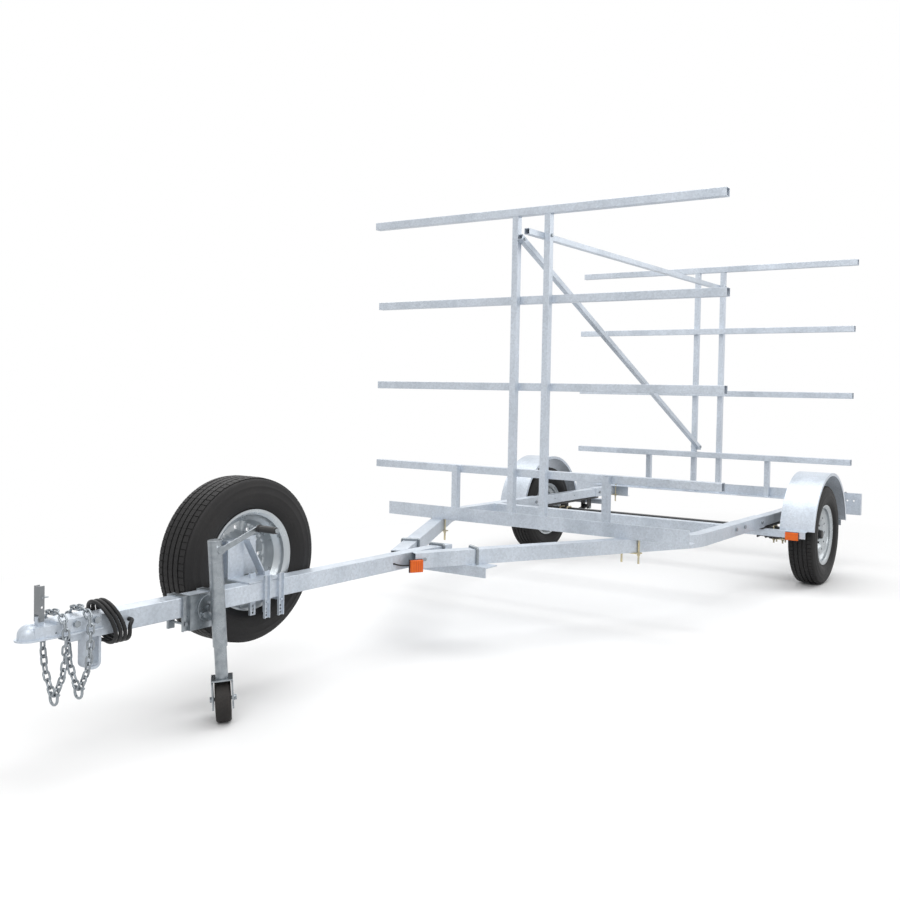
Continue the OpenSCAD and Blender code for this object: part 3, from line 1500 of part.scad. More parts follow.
module carrier_studs() {
    translate([carrier_x, carrier_y, carrier_hub_z]) rotate([0, -90, 0]) stud_ring(stud_circle) children();
}

// The spare stands with the open side of its rim towards the drawbar
module on_spare() {
    translate([-spare_side, -spare_ahead, spare_height]) rotate([0, -90, 0]) children();
}

module spare_rim() { color(galvanised) placed() on_spare() rim(); }
module spare_tyre() { color(rubber) placed() on_spare() tyre(); }

drawbar();
vee_plate();
front_rails();
axle_rails();
rear_rails();
chassis_crossmember();
front_base_angle();
rear_base_angle();
tail_brackets();
frame_bolts();
rack_clamps();
rack_uprights();
rack_stubs();
front_bars();
rear_bars();
rack_braces();
mudguards();
mudguard_stays();
side_lamp_bases();
side_lamp_lenses();
lamp_leads();
spring_hangers();
spring_pins();
leaf_springs();
axle_beam();
spring_seats();
left_hub();
left_bearings();
left_rim();
left_tyre();
left_wheel_nuts();
left_hub_cap();
right_hub();
right_bearings();
right_rim();
right_tyre();
right_wheel_nuts();
right_hub_cap();
coupling_housing();
coupling_lever();
coupling_trigger();
coupling_tongue();
safety_loop();
chain_wraps();
front_chain();
rear_chain();
wiring_cable();
wiring_plug();
jockey_clamp();
jockey_outer_tube();
jockey_crank();
jockey_grip();
jockey_screw();
jockey_inner_tube();
jockey_fork();
jockey_wheel();
jockey_lock_pin();
spare_carrier();
spare_rim();
spare_tyre();
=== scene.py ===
"""A road trailer with two canoe racks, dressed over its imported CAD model.

Lengths are in metres in the row frame: +Y runs from the coupling to the tail,
+X points to the side of the jockey wheel and +Z is up.
"""

import json
import logging
import math
from dataclasses import dataclass, field
from enum import Enum
from typing import Sequence

import bmesh
import bpy
from mathutils import Matrix, Vector

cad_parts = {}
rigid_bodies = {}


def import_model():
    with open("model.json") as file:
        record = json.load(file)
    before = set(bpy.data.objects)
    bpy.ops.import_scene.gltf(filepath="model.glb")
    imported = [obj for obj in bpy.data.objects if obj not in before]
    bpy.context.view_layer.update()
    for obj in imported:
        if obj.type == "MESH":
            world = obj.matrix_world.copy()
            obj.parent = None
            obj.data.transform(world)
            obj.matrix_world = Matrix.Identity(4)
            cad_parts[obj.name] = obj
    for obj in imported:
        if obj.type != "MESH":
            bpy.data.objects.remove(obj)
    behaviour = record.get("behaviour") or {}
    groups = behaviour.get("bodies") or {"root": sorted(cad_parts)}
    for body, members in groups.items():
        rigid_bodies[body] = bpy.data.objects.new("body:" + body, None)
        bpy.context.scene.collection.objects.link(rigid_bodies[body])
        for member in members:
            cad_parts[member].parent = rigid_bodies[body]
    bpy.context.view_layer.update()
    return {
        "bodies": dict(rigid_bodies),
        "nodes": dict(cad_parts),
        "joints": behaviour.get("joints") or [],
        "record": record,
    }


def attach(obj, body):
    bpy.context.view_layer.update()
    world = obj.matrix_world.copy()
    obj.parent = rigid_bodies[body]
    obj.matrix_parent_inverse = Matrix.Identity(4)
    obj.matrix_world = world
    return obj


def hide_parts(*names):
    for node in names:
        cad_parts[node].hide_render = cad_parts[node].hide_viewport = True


LOG = logging.getLogger("canoe_trailer")
MM = 0.001
AXLE_Y = 1.813
WHITE = (1.0, 1.0, 1.0, 1.0)
Point = tuple[float, float, float]
Span = tuple[float, float]


def at(x: float, y: float, z: float) -> Vector:
    """A point given in millimetres from the axle line, in the row frame.

    Args:
        x: Millimetres to the jockey wheel's side.
        y: Millimetres behind the axle.
        z: Millimetres above the floor.

    Returns:
        The point in metres.
    """
    return Vector((x * MM, y * MM + AXLE_Y, z * MM))


class Slot(Enum):
    """The record's material slots."""

    GALVANISED = "galvanised_steel"
    RIM = "silver_rim_steel"
    ZINC = "bright_zinc"
    YELLOW_ZINC = "yellow_zinc"
    BLACK_STEEL = "black_painted_steel"
    BLACK_PLASTIC = "black_plastic"
    SHEATH = "black_cable_sheath"
    AMBER = "amber_lens"
    TYRE = "tyre_rubber"
    JOCKEY_RUBBER = "jockey_rubber"
    LEVER = "lever_grey_paint"
    BEARING = "bearing_steel"


# Materials

# Windows of a noise's range from 0 to 1: what a pattern reads as its lowest and highest value
MIDDLE = (0.3, 0.7)
BROAD = (0.3, 0.75)
CENTRAL = (0.35, 0.7)
RAISED = (0.35, 0.75)
BLOTS = (0.42, 0.7)
UPPER = (0.45, 0.75)


class Graph:
    """Writes the node tree of one material."""

    MIX_A, MIX_B, MIXED = 6, 7, 2  # the Mix node's colour sockets

    def __init__(self, name: str) -> None:
        """Starts a material with a Principled shader.

        Args:
            name: The material's name.
        """
        self.material = bpy.data.materials.new(name)
        self.material.use_nodes = True
        self.tree = self.material.node_tree
        self.shader = self.tree.nodes["Principled BSDF"]
        self.place = self.tree.nodes.new("ShaderNodeTexCoord").outputs["Object"]

    def node(self, kind: str, inputs: dict | None = None, **settings: object) -> bpy.types.Node:
        """Adds a node.

        Args:
            kind: The node's type name.
            inputs: Values or sockets by input name.
            **settings: The node's own properties.

        Returns:
            The new node.
        """
        made = self.tree.nodes.new(kind)
        for key, value in settings.items():
            setattr(made, key, value)
        for key, value in (inputs or {}).items():
            self.feed(made.inputs[key], value)
        return made

    def feed(self, socket: bpy.types.NodeSocket, value: object) -> None:
        """Links a value to an input, or writes a plain one into it.

        Args:
            socket: The input.
            value: Another node's output, or a plain value.
        """
        if isinstance(value, bpy.types.NodeSocket):
            self.tree.links.new(value, socket)
        else:
            socket.default_value = value

    def set(self, **values: object) -> None:
        """Fills the shader's own inputs.

        Args:
            **values: Values or sockets by input name, with underscores for spaces.
        """
        for key, value in values.items():
            self.feed(self.shader.inputs[key.replace("_", " ")], value)

    def stretched(self, scale: Point) -> bpy.types.NodeSocket:
        """Object coordinates scaled along each axis."""
        return self.node("ShaderNodeMapping", {"Vector": self.place, "Scale": scale}).outputs[0]

    def noise(
        self, scale: float, detail: float = 3.0, rough: float = 0.55, where: object = None
    ) -> bpy.types.NodeSocket:
        """A noise value from 0 to 1.

        Args:
            scale: Cells to a metre.
            detail: Octaves.
            rough: Share of each finer octave.
            where: The coordinates, if not the object's own.

        Returns:
            The value's socket.
        """
        values = {"Vector": where or self.place, "Scale": scale, "Detail": detail, "Roughness": rough}
        return self.node("ShaderNodeTexNoise", values).outputs["Fac"]

    def crystals(self, scale: float) -> bpy.types.NodeSocket:
        """A random value for each cell of a Voronoi pattern, as spangle has."""
        cells = self.node("ShaderNodeTexVoronoi", {"Vector": self.place, "Scale": scale})
        split = self.node("ShaderNodeSeparateColor", {"Color": cells.outputs["Color"]})
        return split.outputs[0]

    def spread(
        self, value: object, low: float, high: float, start: float = 0.0, end: float = 1.0
    ) -> bpy.types.NodeSocket:
        """Maps a value from one range to another.

        Args:
            value: The value's socket.
            low: Result at start and below it.
            high: Result at end and above it.
            start: Where the value's range starts.
            end: Where it ends.

        Returns:
            The result's socket.
        """
        values = {"Value": value, "From Min": start, "From Max": end, "To Min": low, "To Max": high}
        return self.node("ShaderNodeMapRange", values).outputs[0]

    def math(self, operation: str, a: object, b: object) -> bpy.types.NodeSocket:
        """Combines two values with a Math node."""
        made = self.node("ShaderNodeMath", operation=operation)
        self.feed(made.inputs[0], a)
        self.feed(made.inputs[1], b)
        return made.outputs[0]

    def mix(self, share: object, a: object, b: object, blend: str = "MIX") -> bpy.types.NodeSocket:
        """Mixes two colours.

        Args:
            share: How much of the second colour, from 0 to 1.
            a: The first colour or its socket.
            b: The second.
            blend: The Mix node's way of blending.

        Returns:
            The mixed colour's socket.
        """
        made = self.node("ShaderNodeMix", data_type="RGBA", blend_type=blend)
        self.feed(made.inputs[0], share)
        self.feed(made.inputs[self.MIX_A], colour(a))
        self.feed(made.inputs[self.MIX_B], colour(b))
        return made.outputs[self.MIXED]

    def shade(self, base: object, factor: bpy.types.NodeSocket) -> bpy.types.NodeSocket:
        """Multiplies a colour by a grey value."""
        grey = self.node("ShaderNodeCombineColor", {"Red": factor, "Green": factor, "Blue": factor})
        return self.mix(1.0, base, grey.outputs[0], "MULTIPLY")

    def bump(self, height: bpy.types.NodeSocket, strength: float, distance: float) -> None:
        """Gives the shader a bump.

        Args:
            height: The height's socket, from 0 to 1.
            strength: How much of it shows.
            distance: Its height in metres.
        """
        made = self.node("ShaderNodeBump", {"Height": height, "Strength": strength, "Distance": distance})
        self.set(Normal=made.outputs[0])


def colour(value: object) -> object:
    """Adds the alpha of a plain colour of three numbers."""
    return (*value, 1.0) if isinstance(value, tuple) and len(value) == 3 else value


@dataclass(frozen=True)
class Galvanised:
    """Hot-dip galvanised steel: pale blue-grey with a fine spangle and soft clouds."""

    name: str = "galvanised"
    tint: Point = (0.62, 0.675, 0.745)
    worn: Point = (0.44, 0.495, 0.56)
    spangle: float = 120.0
    contrast: float = 0.075
    metallic: float = 0.4
    smooth: float = 0.32
    dull: float = 0.44
    fine_spangle: float = 372.0
    fine_contrast: float = 0.03
    cloud: float = 2.6
    cloud_shade: Span = (0.92, 1.07)
    cloud_sheen: Span = (-0.05, 0.07)
    streak: float = 7.0
    streak_shape: Point = (1.0, 1.0, 0.25)
    streak_share: float = 0.6
    grain: float = 160.0
    relief: float = 0.12
    depth: float = 0.6 * MM

    def material(self) -> bpy.types.Material:
        """Builds the material."""
        g = Graph(self.name)
        crystal = g.crystals(self.spangle)
        fine = g.crystals(self.fine_spangle)
        cloud = g.noise(self.cloud, 4.0)
        streak = g.noise(self.streak, 3.0, where=g.stretched(self.streak_shape))
        facets = g.spread(crystal, 1 - self.contrast, 1 + self.contrast)
        shade = g.math("ADD", facets, g.spread(fine, -self.fine_contrast, self.fine_contrast))
        shade = g.math("MULTIPLY", shade, g.spread(cloud, *self.cloud_shade, *MIDDLE))
        patina = g.mix(g.spread(streak, 0.0, self.streak_share, *UPPER), self.tint, self.worn)
        g.set(Base_Color=g.shade(patina, shade), Metallic=self.metallic)
        sheen = g.spread(crystal, self.smooth, self.dull)
        g.set(Roughness=g.math("ADD", sheen, g.spread(cloud, *self.cloud_sheen, *MIDDLE)))
        g.bump(g.math("ADD", g.noise(self.grain, 3.0), crystal), self.relief, self.depth)
        return g.material


@dataclass(frozen=True)
class Plated:
    """Zinc-plated steel with handling marks and, on yellow zinc, a drift of hue."""

    name: str
    tint: Point
    stain: Point
    stain_share: float = 0.35
    metallic: float = 0.85
    smooth: float = 0.24
    dull: float = 0.46
    blot: float = 38.0
    grain: float = 420.0
    grain_shade: Span = (0.93, 1.05)
    relief: float = 0.08
    depth: float = 0.4 * MM

    def material(self) -> bpy.types.Material:
        """Builds the material."""
        g = Graph(self.name)
        blot = g.noise(self.blot, 4.0)
        fine = g.noise(self.grain, 2.0)
        base = g.mix(g.spread(blot, 0.0, self.stain_share, *BLOTS), self.tint, self.stain)
        shade = g.spread(fine, *self.grain_shade, *MIDDLE)
        g.set(Base_Color=g.shade(base, shade), Metallic=self.metallic)
        g.set(Roughness=g.spread(blot, self.smooth, self.dull, *BROAD))
        g.bump(fine, self.relief, self.depth)
        return g.material


@dataclass(frozen=True)
class Paint:
    """Painted steel with orange peel and a little road dust."""

    name: str
    tint: Point
    dust: Point = (0.23, 0.22, 0.20)
    dust_share: float = 0.16
    metallic: float = 0.0
    rough: float = 0.42
    coat: float = 0.0
    coat_rough: float = 0.2
    polish: float = 0.06
    scuff: float = 0.14
    film: float = 9.0
    peel: float = 520.0
    relief: float = 0.06
    depth: float = 0.4 * MM

    def material(self) -> bpy.types.Material:
        """Builds the material."""
        g = Graph(self.name)
        film = g.noise(self.film, 5.0)
        peel = g.noise(self.peel, 2.0)
        base = g.mix(g.spread(film, 0.0, self.dust_share, *UPPER), self.tint, self.dust)
        g.set(Base_Color=base, Metallic=self.metallic)
        g.set(Coat_Weight=self.coat, Coat_Roughness=self.coat_rough)
        g.set(Roughness=g.spread(film, self.rough - self.polish, self.rough + self.scuff, *RAISED))
        g.bump(peel, self.relief, self.depth)
        return g.material


@dataclass(frozen=True)
class Rubber:
    """Moulded rubber: near black, grained, with dust that greys it in patches."""

    name: str
    tint: Point = (0.011, 0.011, 0.012)
    dust: Point = (0.062, 0.058, 0.055)
    dust_share: float = 0.4
    rough: float = 0.62
    grain: float = 900.0
    polish: float = 0.08
    scuff: float = 0.12
    patch: float = 5.0
    patch_least: float = 0.25
    speck: float = 140.0
    speck_least: float = 0.3
    gloss: float = 0.3
    relief: float = 0.10
    depth: float = 0.5 * MM

    def material(self) -> bpy.types.Material:
        """Builds the material."""
        g = Graph(self.name)
        patch = g.noise(self.patch, 5.0)
        speck = g.noise(self.speck, 3.0)
        drift = g.spread(patch, self.patch_least, 1.0, *CENTRAL)
        share = g.math("MULTIPLY", drift, g.spread(speck, self.speck_least, 1.0, *CENTRAL))
        base = g.mix(g.math("MULTIPLY", share, self.dust_share), self.tint, self.dust)
        g.set(Base_Color=base, Specular_IOR_Level=self.gloss)
        g.set(Roughness=g.spread(speck, self.rough - self.polish, self.rough + self.scuff, *MIDDLE))
        g.bump(g.noise(self.grain, 2.0), self.relief, self.depth)
        return g.material


@dataclass(frozen=True)
class Moulded:
    """Textured black plastic."""

    name: str = "black_plastic"
    tint: Point = (0.022, 0.022, 0.024)
    haze: Point = (0.09, 0.09, 0.088)
    haze_share: float = 0.25
    rough: float = 0.46
    polish: float = 0.05
    scuff: float = 0.12
    film: float = 24.0
    spark: float = 700.0
    relief: float = 0.12
    depth: float = 0.4 * MM

    def material(self) -> bpy.types.Material:
        """Builds the material."""
        g = Graph(self.name)
        film = g.noise(self.film, 4.0)
        base = g.mix(g.spread(film, 0.0, self.haze_share, *UPPER), self.tint, self.haze)
        g.set(Base_Color=base)
        g.set(Roughness=g.spread(film, self.rough - self.polish, self.rough + self.scuff, *BROAD))
        g.bump(g.noise(self.spark, 1.0), self.relief, self.depth)
        return g.material


@dataclass(frozen=True)
class Lens:
    """Clear amber plastic with moulded optic ribs behind a glossy face."""

    name: str = "amber_lens"
    tint: Point = (0.93, 0.15, 0.003)
    deep: Point = (0.62, 0.075, 0.002)
    bright: Point = (1.0, 0.22, 0.008)
    ribs: float = 62.0
    rib_share: float = 0.6
    glow: float = 30.0
    glow_share: float = 0.35
    rough: Span = (0.08, 0.16)
    coat: float = 0.12
    coat_rough: float = 0.05
    index: float = 1.4
    relief: float = 0.25
    depth: float = 0.8 * MM

    def material(self) -> bpy.types.Material:
        """Builds the material."""
        g = Graph(self.name)
        wave = g.node(
            "ShaderNodeTexWave",
            {"Vector": g.place, "Scale": self.ribs, "Distortion": 0.0},
            wave_type="BANDS",
            bands_direction="X",
        ).outputs["Fac"]
        glow = g.noise(self.glow, 2.0)
        base = g.mix(g.spread(wave, 0.0, self.rib_share), self.tint, self.deep)
        base = g.mix(g.spread(glow, 0.0, self.glow_share, *CENTRAL), base, self.bright)
        g.set(Base_Color=base, Roughness=g.spread(glow, *self.rough, *MIDDLE))
        g.set(Coat_Weight=self.coat, Coat_Roughness=self.coat_rough, IOR=self.index)
        g.bump(wave, self.relief, self.depth)
        return g.material


Finish = Galvanised | Plated | Paint | Rubber | Moulded | Lens


class Palette:
    """Makes each finish once and hands out its material."""

    FINISHES: dict[Slot, Finish] = {
        Slot.GALVANISED: Galvanised(),
        Slot.RIM: Paint("silver_rim", (0.50, 0.535, 0.56), (0.33, 0.34, 0.35), 0.3, 0.6, 0.28, 0.1),
        Slot.ZINC: Plated("bright_zinc", (0.33, 0.36, 0.385), (0.17, 0.19, 0.21), 0.6),
        Slot.YELLOW_ZINC: Plated("yellow_zinc", (0.60, 0.52, 0.33), (0.42, 0.41, 0.37), 0.7),
        Slot.BLACK_STEEL: Paint("black_steel", (0.022, 0.022, 0.024)),
        Slot.BLACK_PLASTIC: Moulded(),
        Slot.SHEATH: Rubber("cable_sheath", (0.012, 0.012, 0.013), (0.07, 0.07, 0.07), 0.3, 0.48, 500.0),
        Slot.AMBER: Lens(),
        Slot.TYRE: Rubber("tyre_rubber"),
        Slot.JOCKEY_RUBBER: Rubber("jockey_rubber", (0.014, 0.013, 0.013), (0.10, 0.088, 0.08), 0.6),
        Slot.LEVER: Paint("lever_paint", (0.24, 0.255, 0.27), (0.16, 0.16, 0.16), 0.3, 0.45, 0.36),
        Slot.BEARING: Plated("ground_steel", (0.55, 0.56, 0.57), (0.35, 0.34, 0.32), 0.3, 0.95, 0.14, 0.3),
    }

    def __init__(self) -> None:
        """Starts with no finish made."""
        self.made: dict[Slot, bpy.types.Material] = {}

    def __getitem__(self, slot: Slot) -> bpy.types.Material:
        """The material of a slot, built at its first use."""
        if slot not in self.made:
            self.made[slot] = self.FINISHES[slot].material()
        return self.made[slot]


# Shapes

TUBE_SHARP = 50.0


def new_object(name: str, mesh: bpy.types.Mesh) -> bpy.types.Object:
    """Links a mesh into the scene as an object at the origin."""
    made = bpy.data.objects.new(name, mesh)
    bpy.context.scene.collection.objects.link(made)
    return made


def to_mesh(name: str, bm: bmesh.types.BMesh) -> bpy.types.Mesh:
    """Writes a bmesh into a new mesh and frees it."""
    mesh = bpy.data.meshes.new(name)
    bm.to_mesh(mesh)
    bm.free()
    return mesh


def smooth_by_angle(mesh: bpy.types.Mesh, degrees: float) -> None:
    """Shades a mesh smooth with sharp edges above an angle."""
    mesh.shade_smooth()
    mesh.set_sharp_from_angle(angle=math.radians(degrees))


def evaluated(source: bpy.types.Object, name: str) -> bpy.types.Object:
    """Turns an object's evaluated modifiers into a plain mesh object and removes the source.

    Args:
        source: The object with modifiers.
        name: The new object's name.

    Returns:
        The plain object.
    """
    bpy.context.view_layer.update()
    graph = bpy.context.evaluated_depsgraph_get()
    mesh = bpy.data.meshes.new_from_object(source.evaluated_get(graph), depsgraph=graph)
    bpy.data.objects.remove(source)
    mesh.name = name
    return new_object(name, mesh)


def lathe(
    profile: Sequence[Span], centre: Vector, steps: int, flip: int = 1
) -> bmesh.types.BMesh:
    """Turns a closed profile round a line along X.

    Args:
        profile: Radius and place along the axis, in millimetres.
        centre: The wheel's centre.
        steps: Number of segments round.
        flip: 1, or -1 to face the profile towards -X.

    Returns:
        The turned shell.
    """
    bm = bmesh.new()
    rings = []
    for k in range(steps):
        turn = math.tau * k / steps
        c, s = math.cos(turn), math.sin(turn)
        rings.append([bm.verts.new(centre + Vector((flip * w, r * c, r * s)) * MM) for r, w in profile])
    count = len(profile)
    for k in range(steps):
        a, b = rings[k], rings[(k + 1) % steps]
        for i in range(count):
            j = (i + 1) % count
            bm.faces.new((a[i], a[j], b[j], b[i]))
    bmesh.ops.recalc_face_normals(bm, faces=bm.faces)
    return bm


def smooth_path(points: Sequence[Vector], parts: int) -> list[Vector]:
    """Runs a Catmull-Rom line through points.

    Args:
        points: The points to pass through.
        parts: Pieces per stretch.

    Returns:
        The finer path.
    """
    path = []
    for i in range(len(points) - 1):
        before, a, b = points[max(i - 1, 0)], points[i], points[i + 1]
        after = points[min(i + 2, len(points) - 1)]
        for k in range(parts):
            t = k / parts
            path.append(
                0.5
                * (
                    2 * a
                    + (b - before) * t
                    + (2 * before - 5 * a + 4 * b - after) * t * t
                    + (3 * a - before - 3 * b + after) * t**3
                )
            )
    return [*path, points[-1]]


def tube_mesh(name: str, path: Sequence[Vector], radius: float, sides: int) -> bpy.types.Mesh:
    """Sweeps a round tube along a path, closed at both ends.

    Args:
        name: The mesh's name.
        path: The centre line.
        radius: The tube's radius.
        sides: Sides of the tube.

    Returns:
        The mesh.
    """
    bm = bmesh.new()
    side = (path[1] - path[0]).orthogonal().normalized()
    rings = []
    last = len(path) - 1
    for i, point in enumerate(path):
        heading = (path[min(i + 1, last)] - path[max(i - 1, 0)]).normalized()
        side = (side - heading * side.dot(heading)).normalized()
        other = heading.cross(side)
        turns = [math.tau * k / sides for k in range(sides)]
        spokes = [radius * (math.cos(t) * side + math.sin(t) * other) for t in turns]
        rings.append([bm.verts.new(point + spoke) for spoke in spokes])
    for a, b in zip(rings, rings[1:]):
        for k in range(sides):
            j = (k + 1) % sides
            bm.faces.new((a[k], a[j], b[j], b[k]))
    bm.faces.new(reversed(rings[0]))
    bm.faces.new(rings[-1])
    bmesh.ops.recalc_face_normals(bm, faces=bm.faces)
    mesh = to_mesh(name, bm)
    smooth_by_angle(mesh, TUBE_SHARP)
    return mesh


def path_length(path: Sequence[Vector]) -> float:
    """Length of a path in metres."""
    return sum((b - a).length for a, b in zip(path, path[1:]))


# Geometry Nodes


class Rule:
    """A Geometry Nodes tree with named inputs that ends in plain, dressed mesh."""

    def __init__(self, name: str) -> None:
        """Starts an empty tree.

        Args:
            name: The tree's name.
        """
        self.tree = bpy.data.node_groups.new(name, "GeometryNodeTree")
        self.tree.interface.new_socket("Geometry", in_out="INPUT", socket_type="NodeSocketGeometry")
        self.tree.interface.new_socket("Geometry", in_out="OUTPUT", socket_type="NodeSocketGeometry")
        self.keys: dict[str, str] = {}
        self.source = self.tree.nodes.new("NodeGroupInput")
        self.sink = self.tree.nodes.new("NodeGroupOutput")

    def input(self, name: str, kind: str) -> bpy.types.NodeSocket:
        """Adds a named input.

        Args:
            name: The input's name.
            kind: Float, Int or Vector.

        Returns:
            Its socket inside the tree.
        """
        made = self.tree.interface.new_socket(name, in_out="INPUT", socket_type=f"NodeSocket{kind}")
        self.keys[name] = made.identifier
        return self.source.outputs[name]

    def node(self, kind: str, inputs: dict | None = None, **settings: object) -> bpy.types.Node:
        """Adds a node with values or links at its inputs."""
        made = self.tree.nodes.new(kind)
        for key, value in settings.items():
            setattr(made, key, value)
        for key, value in (inputs or {}).items():
            if isinstance(value, bpy.types.NodeSocket):
                self.tree.links.new(value, made.inputs[key])
            else:
                made.inputs[key].default_value = value
        return made

    def close(self, geometry: bpy.types.NodeSocket, material: bpy.types.Material) -> None:
        """Ends the tree with realised instances in a material."""
        real = self.node("GeometryNodeRealizeInstances", {"Geometry": geometry})
        dressed = self.node("GeometryNodeSetMaterial", {"Geometry": real.outputs[0], "Material": material})
        self.tree.links.new(dressed.outputs[0], self.sink.inputs[0])

    def run(self, name: str, start: bpy.types.Mesh, values: dict[str, object]) -> bpy.types.Object:
        """Evaluates the tree into a plain object.

        Args:
            name: The new object's name.
            start: The mesh it starts from.
            values: Values of the named inputs.

        Returns:
            The plain object.
        """
        holder = new_object(name + "_rule", start)
        modifier = holder.modifiers.new("rule", "NODES")
        modifier.node_group = self.tree
        for key, value in values.items():
            modifier[self.keys[key]] = value
        return evaluated(holder, name)


def bead_rule(material: bpy.types.Material, spread: Span = (0.8, 1.15), seed: int = 7) -> Rule:
    """The rule for a weld: overlapping round beads laid along the edges of a line mesh.

    Args:
        material: The beads' material.
        spread: The smallest and the largest bead, as shares of the stated size.
        seed: Seed of the beads' sizes.

    Returns:
        The rule.
    """
    rule = Rule("weld_beads")
    step = rule.input("Bead step", "Float")
    size = rule.input("Bead size", "Float")
    curve = rule.node("GeometryNodeMeshToCurve", {"Mesh": rule.source.outputs["Geometry"]})
    spaced = {"Curve": curve.outputs[0], "Length": step}
    even = rule.node("GeometryNodeResampleCurve", spaced, mode="LENGTH")
    ball = rule.node("GeometryNodeMeshIcoSphere", {"Radius": 1.0, "Subdivisions": 1})
    least, most = 2, 3  # the node's sockets for a plain number's range
    spans = {"Seed": seed, least: spread[0], most: spread[1]}
    wobble = rule.node("FunctionNodeRandomValue", spans, data_type="FLOAT")
    girth = rule.node("ShaderNodeMath", {0: size, 1: wobble.outputs[1]}, operation="MULTIPLY")
    laid = rule.node(
        "GeometryNodeInstanceOnPoints",
        {"Points": even.outputs[0], "Instance": ball.outputs[0], "Scale": girth.outputs[0]},
    )
    smooth = rule.node("GeometryNodeSetShadeSmooth", {"Geometry": laid.outputs[0]})
    rule.close(smooth.outputs[0], material)
    return rule


def tread_rule(material: bpy.types.Material) -> Rule:
    """The rule for one band of tread blocks round a tyre whose axle lies along X.

    Args:
        material: The blocks' material.

    Returns:
        The rule.
    """
    rule = Rule("tread_band")
    count = rule.input("Blocks round", "Int")
    radius = rule.input("Band radius", "Float")
    size = rule.input("Block size", "Vector")
    lean = rule.input("Block lean", "Vector")
    centre = rule.input("Band centre", "Vector")
    ring = rule.node("GeometryNodeMeshCircle", {"Vertices": count, "Radius": radius})
    upright = (0.0, math.pi / 2, 0.0)
    stood = rule.node("GeometryNodeTransform", {"Geometry": ring.outputs[0], "Rotation": upright})
    block = rule.node("GeometryNodeMeshCube", {"Size": size})
    leaning = rule.node("GeometryNodeTransform", {"Geometry": block.outputs[0], "Rotation": lean})
    place = rule.node("GeometryNodeInputPosition")
    facing = rule.node(
        "FunctionNodeAlignEulerToVector", {"Vector": place.outputs[0]}, axis="Z", pivot_axis="X"
    )
    laid = rule.node(
        "GeometryNodeInstanceOnPoints",
        {"Points": stood.outputs[0], "Instance": leaning.outputs[0], "Rotation": facing.outputs[0]},
    )
    moved = rule.node("GeometryNodeTransform", {"Geometry": laid.outputs[0], "Translation": centre})
    rule.close(moved.outputs[0], material)
    return rule


# Dressing


@dataclass(frozen=True)
class Rounding:
    """How the convex edges of a carried-over node are rounded."""

    width: float
    parts: int = 2
    least_edge: float = 0.0
    sharp: float = 34.0


SOFT_TUBE = Rounding(3.6 * MM, 3, 0.14)
SMALL_TUBE = Rounding(2.2 * MM, 3, 0.10)
SHEET = Rounding(0.5 * MM, 2, 0.004)
FORGED = Rounding(0.9 * MM, 2, 0.002)
MACHINED = Rounding(0.45 * MM, 2, 0.0012)
PLAIN = Rounding(0.0)


class Workshop:
    """Holds the frame and palette and turns meshes into pieces that ride on bodies."""

    MERGE = 1e-5  # vertices closer than this, in metres, become one
    FLAT = math.radians(0.4)  # faces that turn less than this are joined
    CORNER = math.radians(40)  # edges that turn more than this are rounded

    def __init__(self, frame: dict) -> None:
        """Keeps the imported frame.
        """
        self.frame = frame
        self.palette = Palette()
        bodies = frame["record"]["behaviour"]["bodies"]
        self.body_of = {node: body for body, members in bodies.items() for node in members}

    def fit(self, piece: bpy.types.Object, body: str, slot: Slot, *nodes: str) -> bpy.types.Object:
        """Gives a piece its finish, its body and the nodes that it stands for.

        Args:
            piece: The finished object.
            body: The CAD body that it rides on.
            slot: Its material slot.
            *nodes: The CAD nodes that it replaces.

        Returns:
            The piece.
        """
        piece.data.materials.clear()
        piece.data.materials.append(self.palette[slot])
        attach(piece, body)
        if nodes:
            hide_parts(*nodes)
        LOG.info("%s rides on %s, %d faces", piece.name, body, len(piece.data.polygons))
        return piece

    def round_node(self, node: str, slot: Slot, rounding: Rounding) -> bpy.types.Object:
        """Replaces a node by a merged copy of itself with rounded edges and smooth curves.

        Args:
            node: The CAD node.
            slot: Its material slot.
            rounding: How its edges are rounded.

        Returns:
            The piece.
        """
        bm = bmesh.new()
        bm.from_mesh(self.frame["nodes"][node].data)
        bmesh.ops.remove_doubles(bm, verts=bm.verts, dist=self.MERGE)
        bmesh.ops.dissolve_limit(bm, angle_limit=self.FLAT, verts=bm.verts, edges=bm.edges)
        if rounding.width:
            edges = [e for e in bm.edges if self.takes_rounding(e, rounding)]
            bmesh.ops.bevel(
                bm,
                geom=edges,
                offset=rounding.width,
                offset_type="OFFSET",
                segments=rounding.parts,
                profile=0.5,
                clamp_overlap=True,
                affect="EDGES",
            )
        piece = new_object("dressed_" + node, to_mesh("dressed_" + node, bm))
        smooth_by_angle(piece.data, rounding.sharp)
        if rounding.width:
            weights = piece.modifiers.new("weights", "WEIGHTED_NORMAL")
            weights.keep_sharp = True
            piece = evaluated(piece, piece.name)
        return self.fit(piece, self.body_of[node], slot, node)

    def takes_rounding(self, edge: bmesh.types.BMEdge, rounding: Rounding) -> bool:
        """Whether an edge is convex, sharp and long enough to be rounded.

        Args:
            edge: The edge.
            rounding: Its node's rounding.

        Returns:
            Whether it is.
        """
        return (
            len(edge.link_faces) == 2
            and edge.calc_length() >= rounding.least_edge
            and edge.calc_face_angle_signed(0.0) > self.CORNER
        )


@dataclass
class SubAssembly:
    """A group of nodes that are dressed alike, each with its slot and rounding."""

    shop: Workshop
    nodes: dict[str, tuple[Slot, Rounding]] = field(default_factory=dict)

    def build(self) -> None:
        """Dresses every node of the group."""
        for node, (slot, rounding) in self.nodes.items():
            self.shop.round_node(node, slot, rounding)


